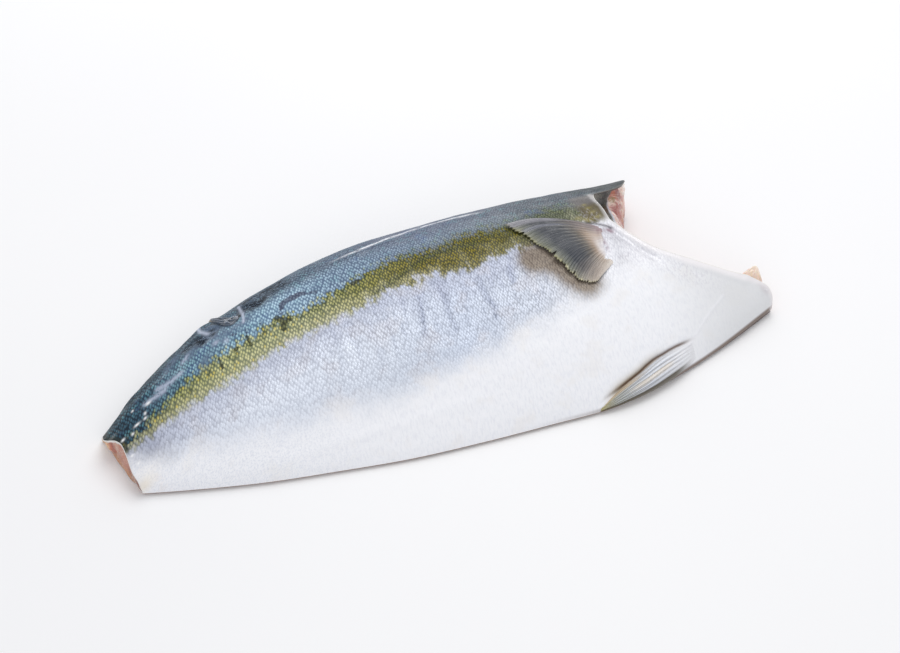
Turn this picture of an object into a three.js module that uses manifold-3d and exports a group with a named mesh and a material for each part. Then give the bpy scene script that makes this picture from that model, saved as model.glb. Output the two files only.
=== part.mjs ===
// A yellowtail fillet: the right side of the fish, lying on its flesh with the skin up.
// The head is cut off in a curve behind the gill, and the tail straight across.
// The collar stays on, and with it the pectoral fin on the flank and the pelvic fin on the belly.
// Millimetres. +X runs to the head end, +Y to the back, +Z up. The fillet rests on Z = 0.
import * as THREE from "three";
import { mergeVertices } from "three/addons/utils/BufferGeometryUtils.js";
import Module from "manifold-3d";

// Length of flank that the section values below span, tail end to head end.
const FLANK_TAIL = -246;
const FLANK_HEAD = 224;

// Section values at every tenth of that length, from the tail.
const BACK_Y = [-23.5, 19.8, 47, 66, 77.8, 80.8, 82.4, 82.1, 80, 75.5, 60];
const BELLY_Y = [-68.6, -79.5, -88.6, -94.6, -99.6, -101.4, -101.7, -100.9, -90.1, -73.3, -52.6];
const CREST_HEIGHT = [18, 26, 34, 41, 46.5, 50, 51.5, 50.5, 47.5, 42, 34];
const CREST_SHARE = [0.46, 0.42, 0.38, 0.36, 0.36, 0.36, 0.36, 0.36, 0.36, 0.38, 0.4];
const BELLY_FULLNESS = [1.9, 1.8, 1.6, 1.4, 1.35, 1.3, 1.3, 1.3, 1.3, 1.5, 1.8];
const BACK_ROUNDING = 2.3;
const BELLY_LIP = 2;
const THROAT_LIP = 2.5;

// Cuts, as [share across from back to belly, X].
const TAIL_CUT = [
  [0, -245.5], [0.23, -245], [0.31, -243], [0.39, -240], [0.466, -236.6], [0.56, -234], [0.7, -232.8],
  [0.86, -231.9], [0.95, -229.6], [1, -228.5],
];
const TAIL_FOOT = [
  [0, -245.5], [0.06, -243.9], [0.26, -241.1], [0.41, -239.4], [0.5, -238.2], [0.65, -235.6],
  [0.75, -234], [0.82, -232.2], [0.858, -230], [0.9, -228.4], [1, -228.5],
];
const HEAD_CUT = [
  [0, 152], [0.08, 152], [0.125, 147], [0.159, 135.5], [0.176, 122], [0.205, 120], [0.28, 121.5],
  [0.352, 122], [0.42, 128.5], [0.54, 144.5], [0.668, 170.5], [0.811, 198], [0.879, 209], [0.934, 215],
  [0.967, 216], [1, 215],
];
const HEAD_FOOT = [
  [0, 152], [0.1, 152.5], [0.141, 150.5], [0.178, 148], [0.25, 144.5], [0.4, 141.5], [0.5, 145],
  [0.6, 154], [0.8, 194], [0.9, 209], [1, 215],
];

// The nape's flesh slopes forward under the skin, with a pocket of the gill opening above it.
const NAPE_PROFILE = [[0, 0], [0.1, 0.05], [0.2, 0.1], [0.27, 0.38], [0.6, 0.78], [1, 1]];
const NAPE_ENDS = [0.36, 0.46];
const LEDGE_ENDS = [0.155, 0.22];
const GILL_RECESS = 4;

// Stub left where the dorsal fin was trimmed off the back.
const STUB_X = -163;
const STUB_SHARE = 0.08;
const STUB_LENGTH = 12;
const STUB_WIDTH = 0.06;
const STUB_HEIGHT = 3;

// Flesh lobe of the throat that stands in front of the collar and leans away from it.
const LOBE_CENTRE = new THREE.Vector3(203.8, -39.1, 11);
const LOBE_SIZE = new THREE.Vector3(10.4, 6.5, 12.8);
const LOBE_TURN = THREE.MathUtils.degToRad(-35);
const LOBE_LEAN = 6.9;
const LOBE_SLIMMING = 0.46;

// Fins, as [X, share across, lift off the skin].
const PECTORAL_ROOT = [[117, 0.405, -1], [112.5, 0.45, -1], [110.5, 0.5, -1], [113, 0.546, -1]];
const PECTORAL_TIP = [
  [48.1, 0.273, 1.6], [55.6, 0.323, 1.9], [63.3, 0.394, 2.4], [68.9, 0.448, 2.6], [74.6, 0.509, 2.6],
  [79, 0.562, 2.4], [84.5, 0.599, 2.1], [92.3, 0.613, 1.7], [99.7, 0.591, 1.4], [106, 0.57, 0.7],
];
const PECTORAL_BOW = -0.055;
const PECTORAL_ABOVE = 0.7;
const PECTORAL_SUNK = 8;
const PELVIC_UPPER = [
  [153, 0.938, -0.6], [138, 0.931, 0.9], [122, 0.931, 1.6], [104, 0.948, 1.6], [88, 0.967, 1.2],
  [71.9, 0.994, 0.6],
];
const PELVIC_LOWER = [
  [152, 0.985, -0.6], [139, 0.994, 0.8], [123, 0.999, 1.2], [105, 1, 1], [87.5, 1, 0.8], [70.5, 1, 0.4],
];
const PELVIC_ABOVE = 0.8;
const PELVIC_SUNK = 3;
const FIN_TAPER = 0.5;

// Mesh steps.
const STEPS_LONG = 58;
const STEPS_ACROSS = 34;
const STEPS_WALL = 6;
const FIN_RAYS = 14;
const FIN_STEPS = 9;
const LOBE_STEPS = [20, 12];
const SPACING_CREST = 0.37;
const SMALLEST_EDGE = 0.005;
const MERGE_DISTANCE = 0.001;

// The skin's direction is measured over these steps, and no nearer to the belly edge than this share.
const NORMAL_STEP_X = 2;
const NORMAL_STEP_SHARE = 0.015;
const NORMAL_LAST_SHARE = 0.97;

const UP = new THREE.Vector3(0, 0, 1);

// Smooth curve through evenly spaced values, at t from 0 to 1.
function evenCurve(values, t) {
  const last = values.length - 1;
  const place = THREE.MathUtils.clamp(t, 0, 1) * last;
  const i = Math.min(Math.floor(place), last - 1);
  const f = place - i;
  const b = values[i];
  const c = values[i + 1];
  const a = i > 0 ? values[i - 1] : 2 * b - c;
  const d = i + 2 <= last ? values[i + 2] : 2 * c - b;
  return 0.5 * (2 * b + (c - a) * f + (2 * a - 5 * b + 4 * c - d) * f * f + (3 * b - a - 3 * c + d) * f ** 3);
}

// Curve through unevenly spaced [t, value] pairs that never overshoots them.
function pairCurve(pairs, t) {
  const slope = (i) => (pairs[i + 1][1] - pairs[i][1]) / (pairs[i + 1][0] - pairs[i][0]);
  const tangent = (i) => {
    if (i === 0) return slope(0);
    if (i === pairs.length - 1) return slope(i - 1);
    const before = slope(i - 1);
    const after = slope(i);
    return before * after <= 0 ? 0 : (2 * before * after) / (before + after);
  };
  let i = 0;
  while (i < pairs.length - 2 && t > pairs[i + 1][0]) i += 1;
  const span = pairs[i + 1][0] - pairs[i][0];
  const f = THREE.MathUtils.clamp((t - pairs[i][0]) / span, 0, 1);
  const start = (1 + 2 * f) * (1 - f) ** 2 * pairs[i][1] + f * (1 - f) ** 2 * span * tangent(i);
  const end = f * f * (3 - 2 * f) * pairs[i + 1][1] + f * f * (f - 1) * span * tangent(i + 1);
  return start + end;
}

// Point of the skin at length x and share a across, 0 at the back edge and 1 at the belly edge.
function skin(x, a) {
  const t = (x - FLANK_TAIL) / (FLANK_HEAD - FLANK_TAIL);
  const back = evenCurve(BACK_Y, t);
  const belly = evenCurve(BELLY_Y, t);
  const height = evenCurve(CREST_HEIGHT, t);
  const crest = evenCurve(CREST_SHARE, t);
  let z;
  if (a < crest) {
    z = height * Math.sqrt(1 - Math.max(0, (crest - a) / crest) ** BACK_ROUNDING);
  } else {
    const down = Math.min(1, (a - crest) / (1 - crest));
    const lip = BELLY_LIP + THROAT_LIP * THREE.MathUtils.smoothstep(x, 150, 205);
    z = lip + (height - lip) * (1 - down * down) ** (1 / evenCurve(BELLY_FULLNESS, t));
  }
  const stub = ((x - STUB_X) / STUB_LENGTH) ** 2 + ((a - STUB_SHARE) / STUB_WIDTH) ** 2;
  z += STUB_HEIGHT * Math.exp(-stub) * Math.min(1, a / (STUB_SHARE / 2));
  return new THREE.Vector3(x, back + (belly - back) * a, z);
}

// Same point on the solid, whose belly edge turns down to the board.
function surface(x, a) {
  const point = skin(x, a);
  if (a === 1) point.z = 0;
  return point;
}

// Outward direction of the skin.
function skinNormal(x, a) {
  const across = Math.min(a, NORMAL_LAST_SHARE);
  const alongStep = skin(x + NORMAL_STEP_X, across).sub(skin(x - NORMAL_STEP_X, across));
  const acrossStep = skin(x, across - NORMAL_STEP_SHARE).sub(skin(x, across + NORMAL_STEP_SHARE));
  return alongStep.cross(acrossStep).normalize();
}

// Share across at grid column t: close together where the back turns down to the board.
function shareAt(t) {
  const quarter = Math.PI / 2;
  if (t < SPACING_CREST) return SPACING_CREST * (1 - Math.cos((quarter * t) / SPACING_CREST));
  return SPACING_CREST + (1 - SPACING_CREST) * Math.sin((quarter * (t - SPACING_CREST)) / (1 - SPACING_CREST));
}

// Point of the cut at the head end: down is 0 at the skin's rim and 1 at the board.
function headWall(a, down) {
  const rim = pairCurve(HEAD_CUT, a);
  const foot = pairCurve(HEAD_FOOT, a);
  const nape = 1 - THREE.MathUtils.smoothstep(a, ...NAPE_ENDS);
  const ledge = THREE.MathUtils.smoothstep(a, ...LEDGE_ENDS);
  const slope = ledge * pairCurve(NAPE_PROFILE, down) + (1 - ledge) * down ** 0.8;
  const forward = nape * slope + (1 - nape) * down;
  const recess = GILL_RECESS * (1 - nape) * Math.sin(Math.PI * down) * Math.sin(Math.PI * a);
  const point = skin(rim + (foot - rim) * forward - recess, a);
  point.z = surface(rim, a).z * (1 - down);
  return point;
}

function tailWall(a, down) {
  const rim = pairCurve(TAIL_CUT, a);
  const point = skin(THREE.MathUtils.lerp(rim, pairCurve(TAIL_FOOT, a), down), a);
  point.z = surface(rim, a).z * (1 - down);
  return point;
}

// Triangle soup that leaves out triangles with two corners in one place.
class Soup {
  points = [];
  triangle(p, q, r) {
    const closest = Math.min(p.distanceTo(q), q.distanceTo(r), r.distanceTo(p));
    if (closest > SMALLEST_EDGE) this.points.push(p, q, r);
  }
  // Grid of points, wound so that u cross v faces out.
  grid(pointAt, stepsU, stepsV) {
    for (let i = 0; i < stepsU; i += 1) {
      for (let j = 0; j < stepsV; j += 1) {
        const corner = (di, dj) => pointAt((i + di) / stepsU, (j + dj) / stepsV);
        this.triangle(corner(0, 0), corner(1, 0), corner(1, 1));
        this.triangle(corner(0, 0), corner(1, 1), corner(0, 1));
      }
    }
  }
  geometry() {
    const made = new THREE.BufferGeometry().setFromPoints(this.points);
    return mergeVertices(made, MERGE_DISTANCE);
  }
}

function bodyGeometry() {
  const soup = new Soup();
  const lengthAt = (u, a) => THREE.MathUtils.lerp(pairCurve(TAIL_CUT, a), pairCurve(HEAD_CUT, a), u);
  soup.grid((u, v) => surface(lengthAt(u, shareAt(1 - v)), shareAt(1 - v)), STEPS_LONG, STEPS_ACROSS);
  soup.grid((u, v) => headWall(shareAt(u), v), STEPS_ACROSS, STEPS_WALL);
  soup.grid((u, v) => tailWall(shareAt(1 - u), v), STEPS_ACROSS, STEPS_WALL);

  // The underside is one flat face inside the foot line: belly, head, back and tail in turn.
  const outline = [];
  for (let i = 0; i < STEPS_LONG; i += 1) outline.push(surface(lengthAt(i / STEPS_LONG, 1), 1));
  for (let j = 0; j < STEPS_ACROSS; j += 1) outline.push(headWall(shareAt(1 - j / STEPS_ACROSS), 1));
  for (let i = 0; i < STEPS_LONG; i += 1) outline.push(surface(lengthAt(1 - i / STEPS_LONG, 0), 0));
  for (let j = 0; j < STEPS_ACROSS; j += 1) outline.push(tailWall(shareAt(j / STEPS_ACROSS), 1));
  const flat = outline.map((p) => new THREE.Vector2(p.x, p.y));
  const onBoard = (i) => new THREE.Vector3(flat[i].x, flat[i].y, 0);
  for (const [i, j, k] of THREE.ShapeUtils.triangulateShape(flat, [])) {
    soup.triangle(onBoard(i), onBoard(k), onBoard(j));
  }
  return soup.geometry();
}

// Rounded lobe that leans over, with its foot flat above the board.
function lobeGeometry() {
  const lobe = new THREE.SphereGeometry(1, ...LOBE_STEPS).rotateX(Math.PI / 2);
  const place = lobe.attributes.position;
  for (let i = 0; i < place.count; i += 1) {
    const unit = new THREE.Vector3().fromBufferAttribute(place, i);
    const peak = Math.max(0, unit.z) ** 2;
    const slim = 1 - LOBE_SLIMMING * peak;
    const round = new THREE.Vector3(unit.x * slim, unit.y * slim, unit.z).multiply(LOBE_SIZE);
    const point = round.applyAxisAngle(UP, LOBE_TURN).add(LOBE_CENTRE);
    point.x += LOBE_LEAN * peak;
    point.y += LOBE_LEAN * peak;
    point.z = Math.max(point.z, BELLY_LIP / 2);
    place.setXYZ(i, point.x, point.y, point.z);
  }
  lobe.deleteAttribute("normal");
  lobe.deleteAttribute("uv");
  return mergeVertices(lobe, MERGE_DISTANCE);
}

// Thin closed slab that reaches above and below a sheet of [x, share, lift] places.
function finGeometry(placeAt, above, below) {
  const side = (u, v, sign) => {
    const [x, a, lift] = placeAt(u, v);
    const reach = (sign > 0 ? above : -below) * (1 - FIN_TAPER * v);
    return skin(x, a).addScaledVector(skinNormal(x, a), lift + reach);
  };
  const soup = new Soup();
  soup.grid((u, v) => side(u, v, -1), FIN_RAYS, FIN_STEPS);
  soup.grid((u, v) => side(1 - u, v, 1), FIN_RAYS, FIN_STEPS);
  soup.grid((u, v) => side(u, 0, 1 - 2 * v), FIN_RAYS, 1);
  soup.grid((u, v) => side(1 - u, 1, 1 - 2 * v), FIN_RAYS, 1);
  soup.grid((u, v) => side(1, u, 1 - 2 * v), FIN_STEPS, 1);
  soup.grid((u, v) => side(0, 1 - u, 1 - 2 * v), FIN_STEPS, 1);
  return soup.geometry();
}

function curveOf(places) {
  const points = places.map((place) => new THREE.Vector3(...place));
  return new THREE.CatmullRomCurve3(points, false, "catmullrom");
}

function pectoralGeometry() {
  const root = curveOf(PECTORAL_ROOT);
  const tip = curveOf(PECTORAL_TIP);
  return finGeometry((u, v) => {
    const from = root.getPoint(u);
    const to = tip.getPoint(u);
    const bow = PECTORAL_BOW * (1 - u) * 4 * v * (1 - v);
    const lift = from.z + (to.z - from.z) * (1 - (1 - v) ** 2);
    return [from.x + (to.x - from.x) * v, from.y + (to.y - from.y) * v + bow, lift];
  }, PECTORAL_ABOVE, PECTORAL_SUNK);
}

function pelvicGeometry() {
  const upper = curveOf(PELVIC_UPPER);
  const lower = curveOf(PELVIC_LOWER);
  return finGeometry((u, v) => {
    const place = upper.getPoint(v).lerp(lower.getPoint(v), u);
    return place.toArray();
  }, PELVIC_ABOVE, PELVIC_SUNK);
}

const wasm = await Module();
wasm.setup();

function solidOf(geometry) {
  return new wasm.Manifold(new wasm.Mesh({
    numProp: 3,
    vertProperties: new Float32Array(geometry.attributes.position.array),
    triVerts: new Uint32Array(geometry.index.array),
  }));
}

function geometryOf(solid) {
  const mesh = solid.getMesh();
  const made = new THREE.BufferGeometry();
  made.setAttribute("position", new THREE.BufferAttribute(new Float32Array(mesh.vertProperties), 3));
  made.setIndex(new THREE.BufferAttribute(new Uint32Array(mesh.triVerts), 1));
  made.computeVertexNormals();
  return made;
}

const whole = [lobeGeometry(), pectoralGeometry(), pelvicGeometry()]
  .reduce((body, grown) => body.add(solidOf(grown)), solidOf(bodyGeometry()));

const wetSkin = new THREE.MeshStandardMaterial({ color: 0xb4bdc6, roughness: 0.32, metalness: 0.2 });
const fillet = new THREE.Mesh(geometryOf(whole), wetSkin);
fillet.name = "fillet";

// The origin is on the board, under the middle of the fillet.
fillet.geometry.computeBoundingBox();
const middle = fillet.geometry.boundingBox.getCenter(new THREE.Vector3());
fillet.position.set(-middle.x, -middle.y, 0);

const part = new THREE.Group();
part.add(fillet);

export default part;
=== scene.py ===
import math

import bmesh
import bpy
import numpy as np
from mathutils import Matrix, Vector


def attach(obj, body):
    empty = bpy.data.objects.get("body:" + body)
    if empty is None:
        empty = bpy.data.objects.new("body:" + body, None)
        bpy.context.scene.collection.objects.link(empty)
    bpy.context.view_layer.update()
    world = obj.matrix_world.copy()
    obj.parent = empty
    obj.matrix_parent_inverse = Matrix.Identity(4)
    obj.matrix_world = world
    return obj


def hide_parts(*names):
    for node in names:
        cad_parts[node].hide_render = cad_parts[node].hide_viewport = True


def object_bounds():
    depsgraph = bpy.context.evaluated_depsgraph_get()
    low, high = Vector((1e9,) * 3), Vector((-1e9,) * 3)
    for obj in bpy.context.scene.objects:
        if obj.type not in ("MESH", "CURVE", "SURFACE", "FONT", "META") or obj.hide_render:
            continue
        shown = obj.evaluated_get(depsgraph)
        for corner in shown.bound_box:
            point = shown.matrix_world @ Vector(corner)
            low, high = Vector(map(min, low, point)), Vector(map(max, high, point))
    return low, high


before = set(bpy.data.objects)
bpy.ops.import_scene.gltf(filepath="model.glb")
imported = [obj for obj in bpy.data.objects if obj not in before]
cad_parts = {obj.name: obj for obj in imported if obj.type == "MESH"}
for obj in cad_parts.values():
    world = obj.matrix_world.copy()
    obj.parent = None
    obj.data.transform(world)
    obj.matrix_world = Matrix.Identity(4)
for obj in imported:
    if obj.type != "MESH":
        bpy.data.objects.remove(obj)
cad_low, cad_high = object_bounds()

# The flesh. One side of a yellowtail is a long block of muscle, cut off the backbone underneath.
# The head came off in a curve behind the gill, where the muscle of the nape lies bare in front of
# a pocket of the gill opening, painted dark as its shade, and the tail came off straight across.
MM = 0.001
FLANK_TAIL = -246.0
FLANK_HEAD = 224.0
FLANK_LENGTH = FLANK_HEAD - FLANK_TAIL

# Section values at every tenth of the flank's length, from the tail.
BACK_Y = [-23.5, 19.8, 47, 66, 77.8, 80.8, 82.4, 82.1, 80, 75.5, 60]
BELLY_Y = [-68.6, -79.5, -88.6, -94.6, -99.6, -101.4, -101.7, -100.9, -90.1, -73.3, -52.6]
CREST_HEIGHT = [18, 26, 34, 41, 46.5, 50, 51.5, 50.5, 47.5, 42, 34]
CREST_SHARE = [0.46, 0.42, 0.38, 0.36, 0.36, 0.36, 0.36, 0.36, 0.36, 0.38, 0.4]
BELLY_FULLNESS = [1.9, 1.8, 1.6, 1.4, 1.35, 1.3, 1.3, 1.3, 1.3, 1.5, 1.8]
BACK_ROUNDING = 2.3
BELLY_LIP = 2.0
THROAT_LIP = 2.5

# Cuts, as (share across from back to belly, X).
TAIL_CUT = [
    (0, -245.5), (0.23, -245), (0.31, -243), (0.39, -240), (0.466, -236.6), (0.56, -234), (0.7, -232.8),
    (0.86, -231.9), (0.95, -229.6), (1, -228.5),
]
TAIL_FOOT = [
    (0, -245.5), (0.06, -243.9), (0.26, -241.1), (0.41, -239.4), (0.5, -238.2), (0.65, -235.6),
    (0.75, -234), (0.82, -232.2), (0.858, -230), (0.9, -228.4), (1, -228.5),
]
HEAD_CUT = [
    (0, 152), (0.08, 152), (0.125, 147), (0.159, 135.5), (0.176, 122), (0.205, 120), (0.28, 121.5),
    (0.352, 122), (0.42, 128.5), (0.54, 144.5), (0.668, 170.5), (0.811, 198), (0.879, 209), (0.934, 215),
    (0.967, 216), (1, 215),
]
HEAD_FOOT = [
    (0, 152), (0.1, 152.5), (0.141, 150.5), (0.178, 148), (0.25, 144.5), (0.4, 141.5), (0.5, 145),
    (0.6, 154), (0.8, 194), (0.9, 209), (1, 215),
]
NAPE_PROFILE = [(0, 0), (0.1, 0.05), (0.2, 0.1), (0.27, 0.38), (0.6, 0.78), (1, 1)]
NAPE_ENDS = (0.36, 0.46)
LEDGE_ENDS = (0.155, 0.22)
GILL_RECESS = 4.0
GILL_POCKET = 5.0

SKIN_DEPTH = 1.0
TAIL_INSET = 0.25
NAPE_SHARE = 0.41
STEPS_LONG = 110
STEPS_ACROSS = 200
STEPS_WALL = 36
SPACING_CREST = 0.37
WELD_REACH = 0.004
FLESH_CREASE = 60


def even_curve(values, t):
    """Smooth curve through evenly spaced values, at t from 0 to 1."""
    values = np.asarray(values, float)
    ends = 2 * values[0] - values[1], 2 * values[-1] - values[-2]
    padded = np.concatenate([ends[:1], values, ends[1:]])
    place = np.clip(t, 0, 1) * (len(values) - 1)
    i = np.minimum(place.astype(int), len(values) - 2)
    f = place - i
    a, b, c, d = (padded[i + k] for k in range(4))
    cubic = (2 * a - 5 * b + 4 * c - d) * f**2 + (3 * b - a - 3 * c + d) * f**3
    return 0.5 * (2 * b + (c - a) * f + cubic)


def pair_curve(pairs, t):
    """Curve through (t, value) pairs that never overshoots them."""
    at, value = np.array(pairs, float).T
    slope = np.diff(value) / np.diff(at)
    same = slope[:-1] * slope[1:] > 0
    total = np.where(same, slope[:-1] + slope[1:], 1)
    inner = np.where(same, 2 * slope[:-1] * slope[1:] / total, 0)
    tangent = np.concatenate([slope[:1], inner, slope[-1:]])
    i = np.clip(np.searchsorted(at, t) - 1, 0, len(at) - 2)
    span = at[i + 1] - at[i]
    f = np.clip((t - at[i]) / span, 0, 1)
    start = (1 + 2 * f) * (1 - f) ** 2 * value[i] + f * (1 - f) ** 2 * span * tangent[i]
    return start + f**2 * (3 - 2 * f) * value[i + 1] + f**2 * (f - 1) * span * tangent[i + 1]


def smooth(low, high, value):
    """0 below low, 1 above high, and a soft step between."""
    t = np.clip((value - low) / (high - low), 0, 1)
    return t * t * (3 - 2 * t)


def swell(u, v, seed):
    """Soft random height from -1 to 1, with one rise or hollow for each unit of u and v."""
    table = np.random.default_rng(seed).uniform(-1, 1, (97, 97))
    i = np.floor(u).astype(int)
    j = np.floor(v).astype(int)
    f = smooth(0, 1, u - i)
    g = smooth(0, 1, v - j)
    height = [[table[(i + k) % 97, (j + m) % 97] for m in (0, 1)] for k in (0, 1)]
    near = height[0][0] * (1 - f) + height[1][0] * f
    far = height[0][1] * (1 - f) + height[1][1] * f
    return near * (1 - g) + far * g


def flank(x, a):
    """Place on the flank in fish millimetres, at length x and share a across: 0 back, 1 belly."""
    t = (x - FLANK_TAIL) / FLANK_LENGTH
    back = even_curve(BACK_Y, t)
    belly = even_curve(BELLY_Y, t)
    height = even_curve(CREST_HEIGHT, t)
    crest = even_curve(CREST_SHARE, t)
    rise = height * np.sqrt(1 - np.clip((crest - a) / crest, 0, 1) ** BACK_ROUNDING)
    down = np.clip((a - crest) / (1 - crest), 0, 1)
    lip = BELLY_LIP + THROAT_LIP * smooth(150, 205, x)
    fall = lip + (height - lip) * (1 - down**2) ** (1 / even_curve(BELLY_FULLNESS, t))
    return np.stack([x, back + (belly - back) * a, np.where(a < crest, rise, fall)], axis=-1)


def unit(vectors):
    """Directions of length 1."""
    return vectors / np.maximum(np.linalg.norm(vectors, axis=-1, keepdims=True), 1e-9)


def flank_normal(x, a):
    """Outward direction of the flank."""
    nearer = np.clip(a - 0.004, 0, 1)
    farther = np.clip(a + 0.004, 0, 1)
    return unit(np.cross(flank(x + 1, a) - flank(x - 1, a), flank(x, nearer) - flank(x, farther)))


# The flank laid flat: millimetres along the fish, and over the skin from the crest to the belly.
FLAT_X = np.linspace(FLANK_TAIL, FLANK_HEAD, 95)
FLAT_A = np.linspace(0, 1, 401)
flat_places = flank(*np.meshgrid(FLAT_X, FLAT_A, indexing="ij"))
flat_steps = np.linalg.norm(np.diff(flat_places, axis=1), axis=-1)
flat_table = np.concatenate([np.zeros((len(FLAT_X), 1)), np.cumsum(flat_steps, axis=1)], axis=1)
crest_column = even_curve(CREST_SHARE, (FLAT_X - FLANK_TAIL) / FLANK_LENGTH) * (len(FLAT_A) - 1)
flat_table -= flat_table[np.arange(len(FLAT_X)), crest_column.round().astype(int)][:, None]


def over_skin(x, a):
    """Millimetres over the skin from the crest line, positive towards the belly."""
    u = np.clip((x - FLANK_TAIL) / FLANK_LENGTH, 0, 1) * (len(FLAT_X) - 1)
    v = np.clip(a, 0, 1) * (len(FLAT_A) - 1)
    i = np.minimum(u.astype(int), len(FLAT_X) - 2)
    j = np.minimum(v.astype(int), len(FLAT_A) - 2)
    f = u - i
    g = v - j
    near = flat_table[i, j] * (1 - f) + flat_table[i + 1, j] * f
    far = flat_table[i, j + 1] * (1 - f) + flat_table[i + 1, j + 1] * f
    return near * (1 - g) + far * g


def from_line(x, a, line):
    """Distance in millimetres from a line of (X, share) places, and how far along it, 0 to 1."""
    spots = np.array(line, float)
    flat = np.stack([spots[:, 0], over_skin(spots[:, 0], spots[:, 1])], axis=-1)
    here = np.stack([x, over_skin(x, a)], axis=-1)
    closest = np.full(x.shape, 1e9)
    along = np.zeros(x.shape)
    for k in range(len(flat) - 1):
        stretch = flat[k + 1] - flat[k]
        f = np.clip(((here - flat[k]) @ stretch) / (stretch @ stretch), 0, 1)
        distance = np.linalg.norm(here - flat[k] - f[..., None] * stretch, axis=-1)
        along = np.where(distance < closest, (k + f) / (len(flat) - 1), along)
        closest = np.minimum(closest, distance)
    return closest, along


def spot(x, a, centre, size, turn=0.0):
    """Soft round mask about an (X, share) centre, with half axes in millimetres and a turn in degrees."""
    dx = x - centre[0]
    dy = over_skin(x, a) - over_skin(np.float64(centre[0]), np.float64(centre[1]))
    c = math.cos(math.radians(turn))
    s = math.sin(math.radians(turn))
    return np.exp(-(((dx * c + dy * s) / size[0]) ** 2) - ((dy * c - dx * s) / size[1]) ** 2)


# What stands up from the flank or sinks into it, in millimetres.
COLLAR_LINE = [
    (118, 0.17), (119, 0.228), (120.5, 0.273), (121, 0.34), (127.7, 0.417), (140.6, 0.519), (164.1, 0.649),
    (196.4, 0.817),
]
THROAT_LINE = [(196.4, 0.817), (208, 0.879), (214, 0.934), (215, 0.967), (214, 1)]
COLLAR_CREASE = [(118.6, 0.416), (125.2, 0.465), (132.1, 0.528), (139.7, 0.591), (145.9, 0.65)]
WET_RIDGE = [(-82, 0.168), (-60, 0.16), (-32.5, 0.141), (-10, 0.121), (12, 0.116), (32, 0.123), (45, 0.135)]
BELLY_RIDGE = [(-172.9, 0.969), (-134.1, 0.949), (-94.2, 0.922), (-54.1, 0.907), (-6.1, 0.893)]
THROAT_RIDGE = [(144, 0.941), (157, 0.903), (166, 0.878), (174, 0.862), (178, 0.851)]
THROAT_CREASE = [(167.6, 0.835), (169.4, 0.887), (171.3, 0.938)]
PELVIC_GROOVE = [
    (148, 0.931), (138, 0.926), (128, 0.925), (115, 0.93), (103, 0.946), (94, 0.956), (86, 0.966),
    (78, 0.976), (70, 0.99),
]
FIN_FOLD = [(110.5, 0.397), (108.6, 0.435), (107, 0.473)]
DORSAL_GROOVE = [(-190, 0.12), (-176, 0.09), (-160, 0.1), (-146, 0.14), (-132, 0.15), (-115, 0.13)]


def ridge(x, a, line, height, width, centre=0):
    """Height of a rounded ridge along a line, and how far along it each place is, 0 to 1."""
    off, along = from_line(x, a, line)
    return height * np.exp(-((off - centre) / width) ** 2), along


def relief(x, a):
    """Height in millimetres of the rises, ridges and grooves of the flank."""
    s = over_skin(x, a)
    back = 1 - smooth(-8, 4, s)
    inside = smooth(0, 0.03, a) * smooth(0, 0.03, 1 - a)
    height = 0.35 * swell(x / 34, s / 26, 1) + 0.12 * swell(x / 9, s / 7, 2)
    height += back * (0.18 * swell(x / 14, s / 5, 3) + 0.5 * smooth(-95, -150, x) * swell(x / 11, s / 6, 4))
    streaked = smooth(-20, 5, x) * smooth(75, 55, x) * smooth(2, 8, s) * smooth(50, 25, s)
    height += 0.16 * streaked * swell(x / 4.5 + s / 40, s / 30, 5)

    roll, along = ridge(x, a, COLLAR_LINE, 0.8, 3, 3.5)
    height += roll * smooth(0, 0.12, along)
    crease, along = ridge(x, a, COLLAR_CREASE, 1.3, 2.6)
    height -= crease * smooth(1, 0.6, along)
    crest, along = ridge(x, a, WET_RIDGE, 0.45, 2.2)
    height += crest * smooth(0, 0.2, along) * smooth(1, 0.8, along)
    height += ridge(x, a, BELLY_RIDGE, 0.45, 4)[0]
    height += ridge(x, a, THROAT_RIDGE, 0.35, 0.9)[0]
    height -= ridge(x, a, THROAT_CREASE, 0.3, 1.5)[0]
    groove, along = ridge(x, a, PELVIC_GROOVE, 1, 1.4)
    deep = smooth(0, 0.35, along) * smooth(1.05, 0.8, along)
    height -= (0.4 + 1.2 * deep) * groove
    groove, along = ridge(x, a, DORSAL_GROOVE, 1.1, 4)
    height -= groove * smooth(0, 0.15, along)
    height += 2.6 * spot(x, a, (-163, 0.08), (12, 9))

    height += 2.0 * spot(x, a, (113, 0.47), (8, 16), 12)
    height -= 0.8 * spot(x, a, (92, 0.55), (16, 14))
    height += 0.5 * spot(x, a, (104, 0.29), (7, 5), 20)
    height += ridge(x, a, FIN_FOLD, 1.1, 1.4)[0]
    height -= ridge(x, a, [(at_x + 0.9, share + 0.03) for at_x, share in FIN_FOLD], 0.7, 1.2)[0]
    height += 1.6 * spot(x, a, (-226, 0.965), (6, 5))
    height += 1.8 * spot(x, a, (154, 0.06), (14, 14))
    height -= 1.0 * smooth(-224, -242, x) * smooth(0.44, 0.3, a)
    return height * inside


def body(x, a, lift=0.0):
    """Place on the flank with its relief, lifted off it or, below 0, sunk under it."""
    return flank(x, a) + flank_normal(x, a) * (relief(x, a) + lift)[..., None]


def share_at(t):
    """Share across at column t, close together where the back turns down to the ground."""
    rise = SPACING_CREST * (1 - np.cos(np.pi / 2 * t / SPACING_CREST))
    fall = (1 - SPACING_CREST) * np.sin(np.pi / 2 * (t - SPACING_CREST) / (1 - SPACING_CREST))
    return np.where(t < SPACING_CREST, rise, SPACING_CREST + fall)


def collar_roll(a):
    """Radius of the skin's turned edge at the head: a thin cut at the nape, a round roll at the collar."""
    return 0.45 + 0.9 * smooth(0.18, 0.24, a) + 0.9 * smooth(0.34, 0.46, a) - 1.5 * smooth(0.74, 0.86, a)


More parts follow.
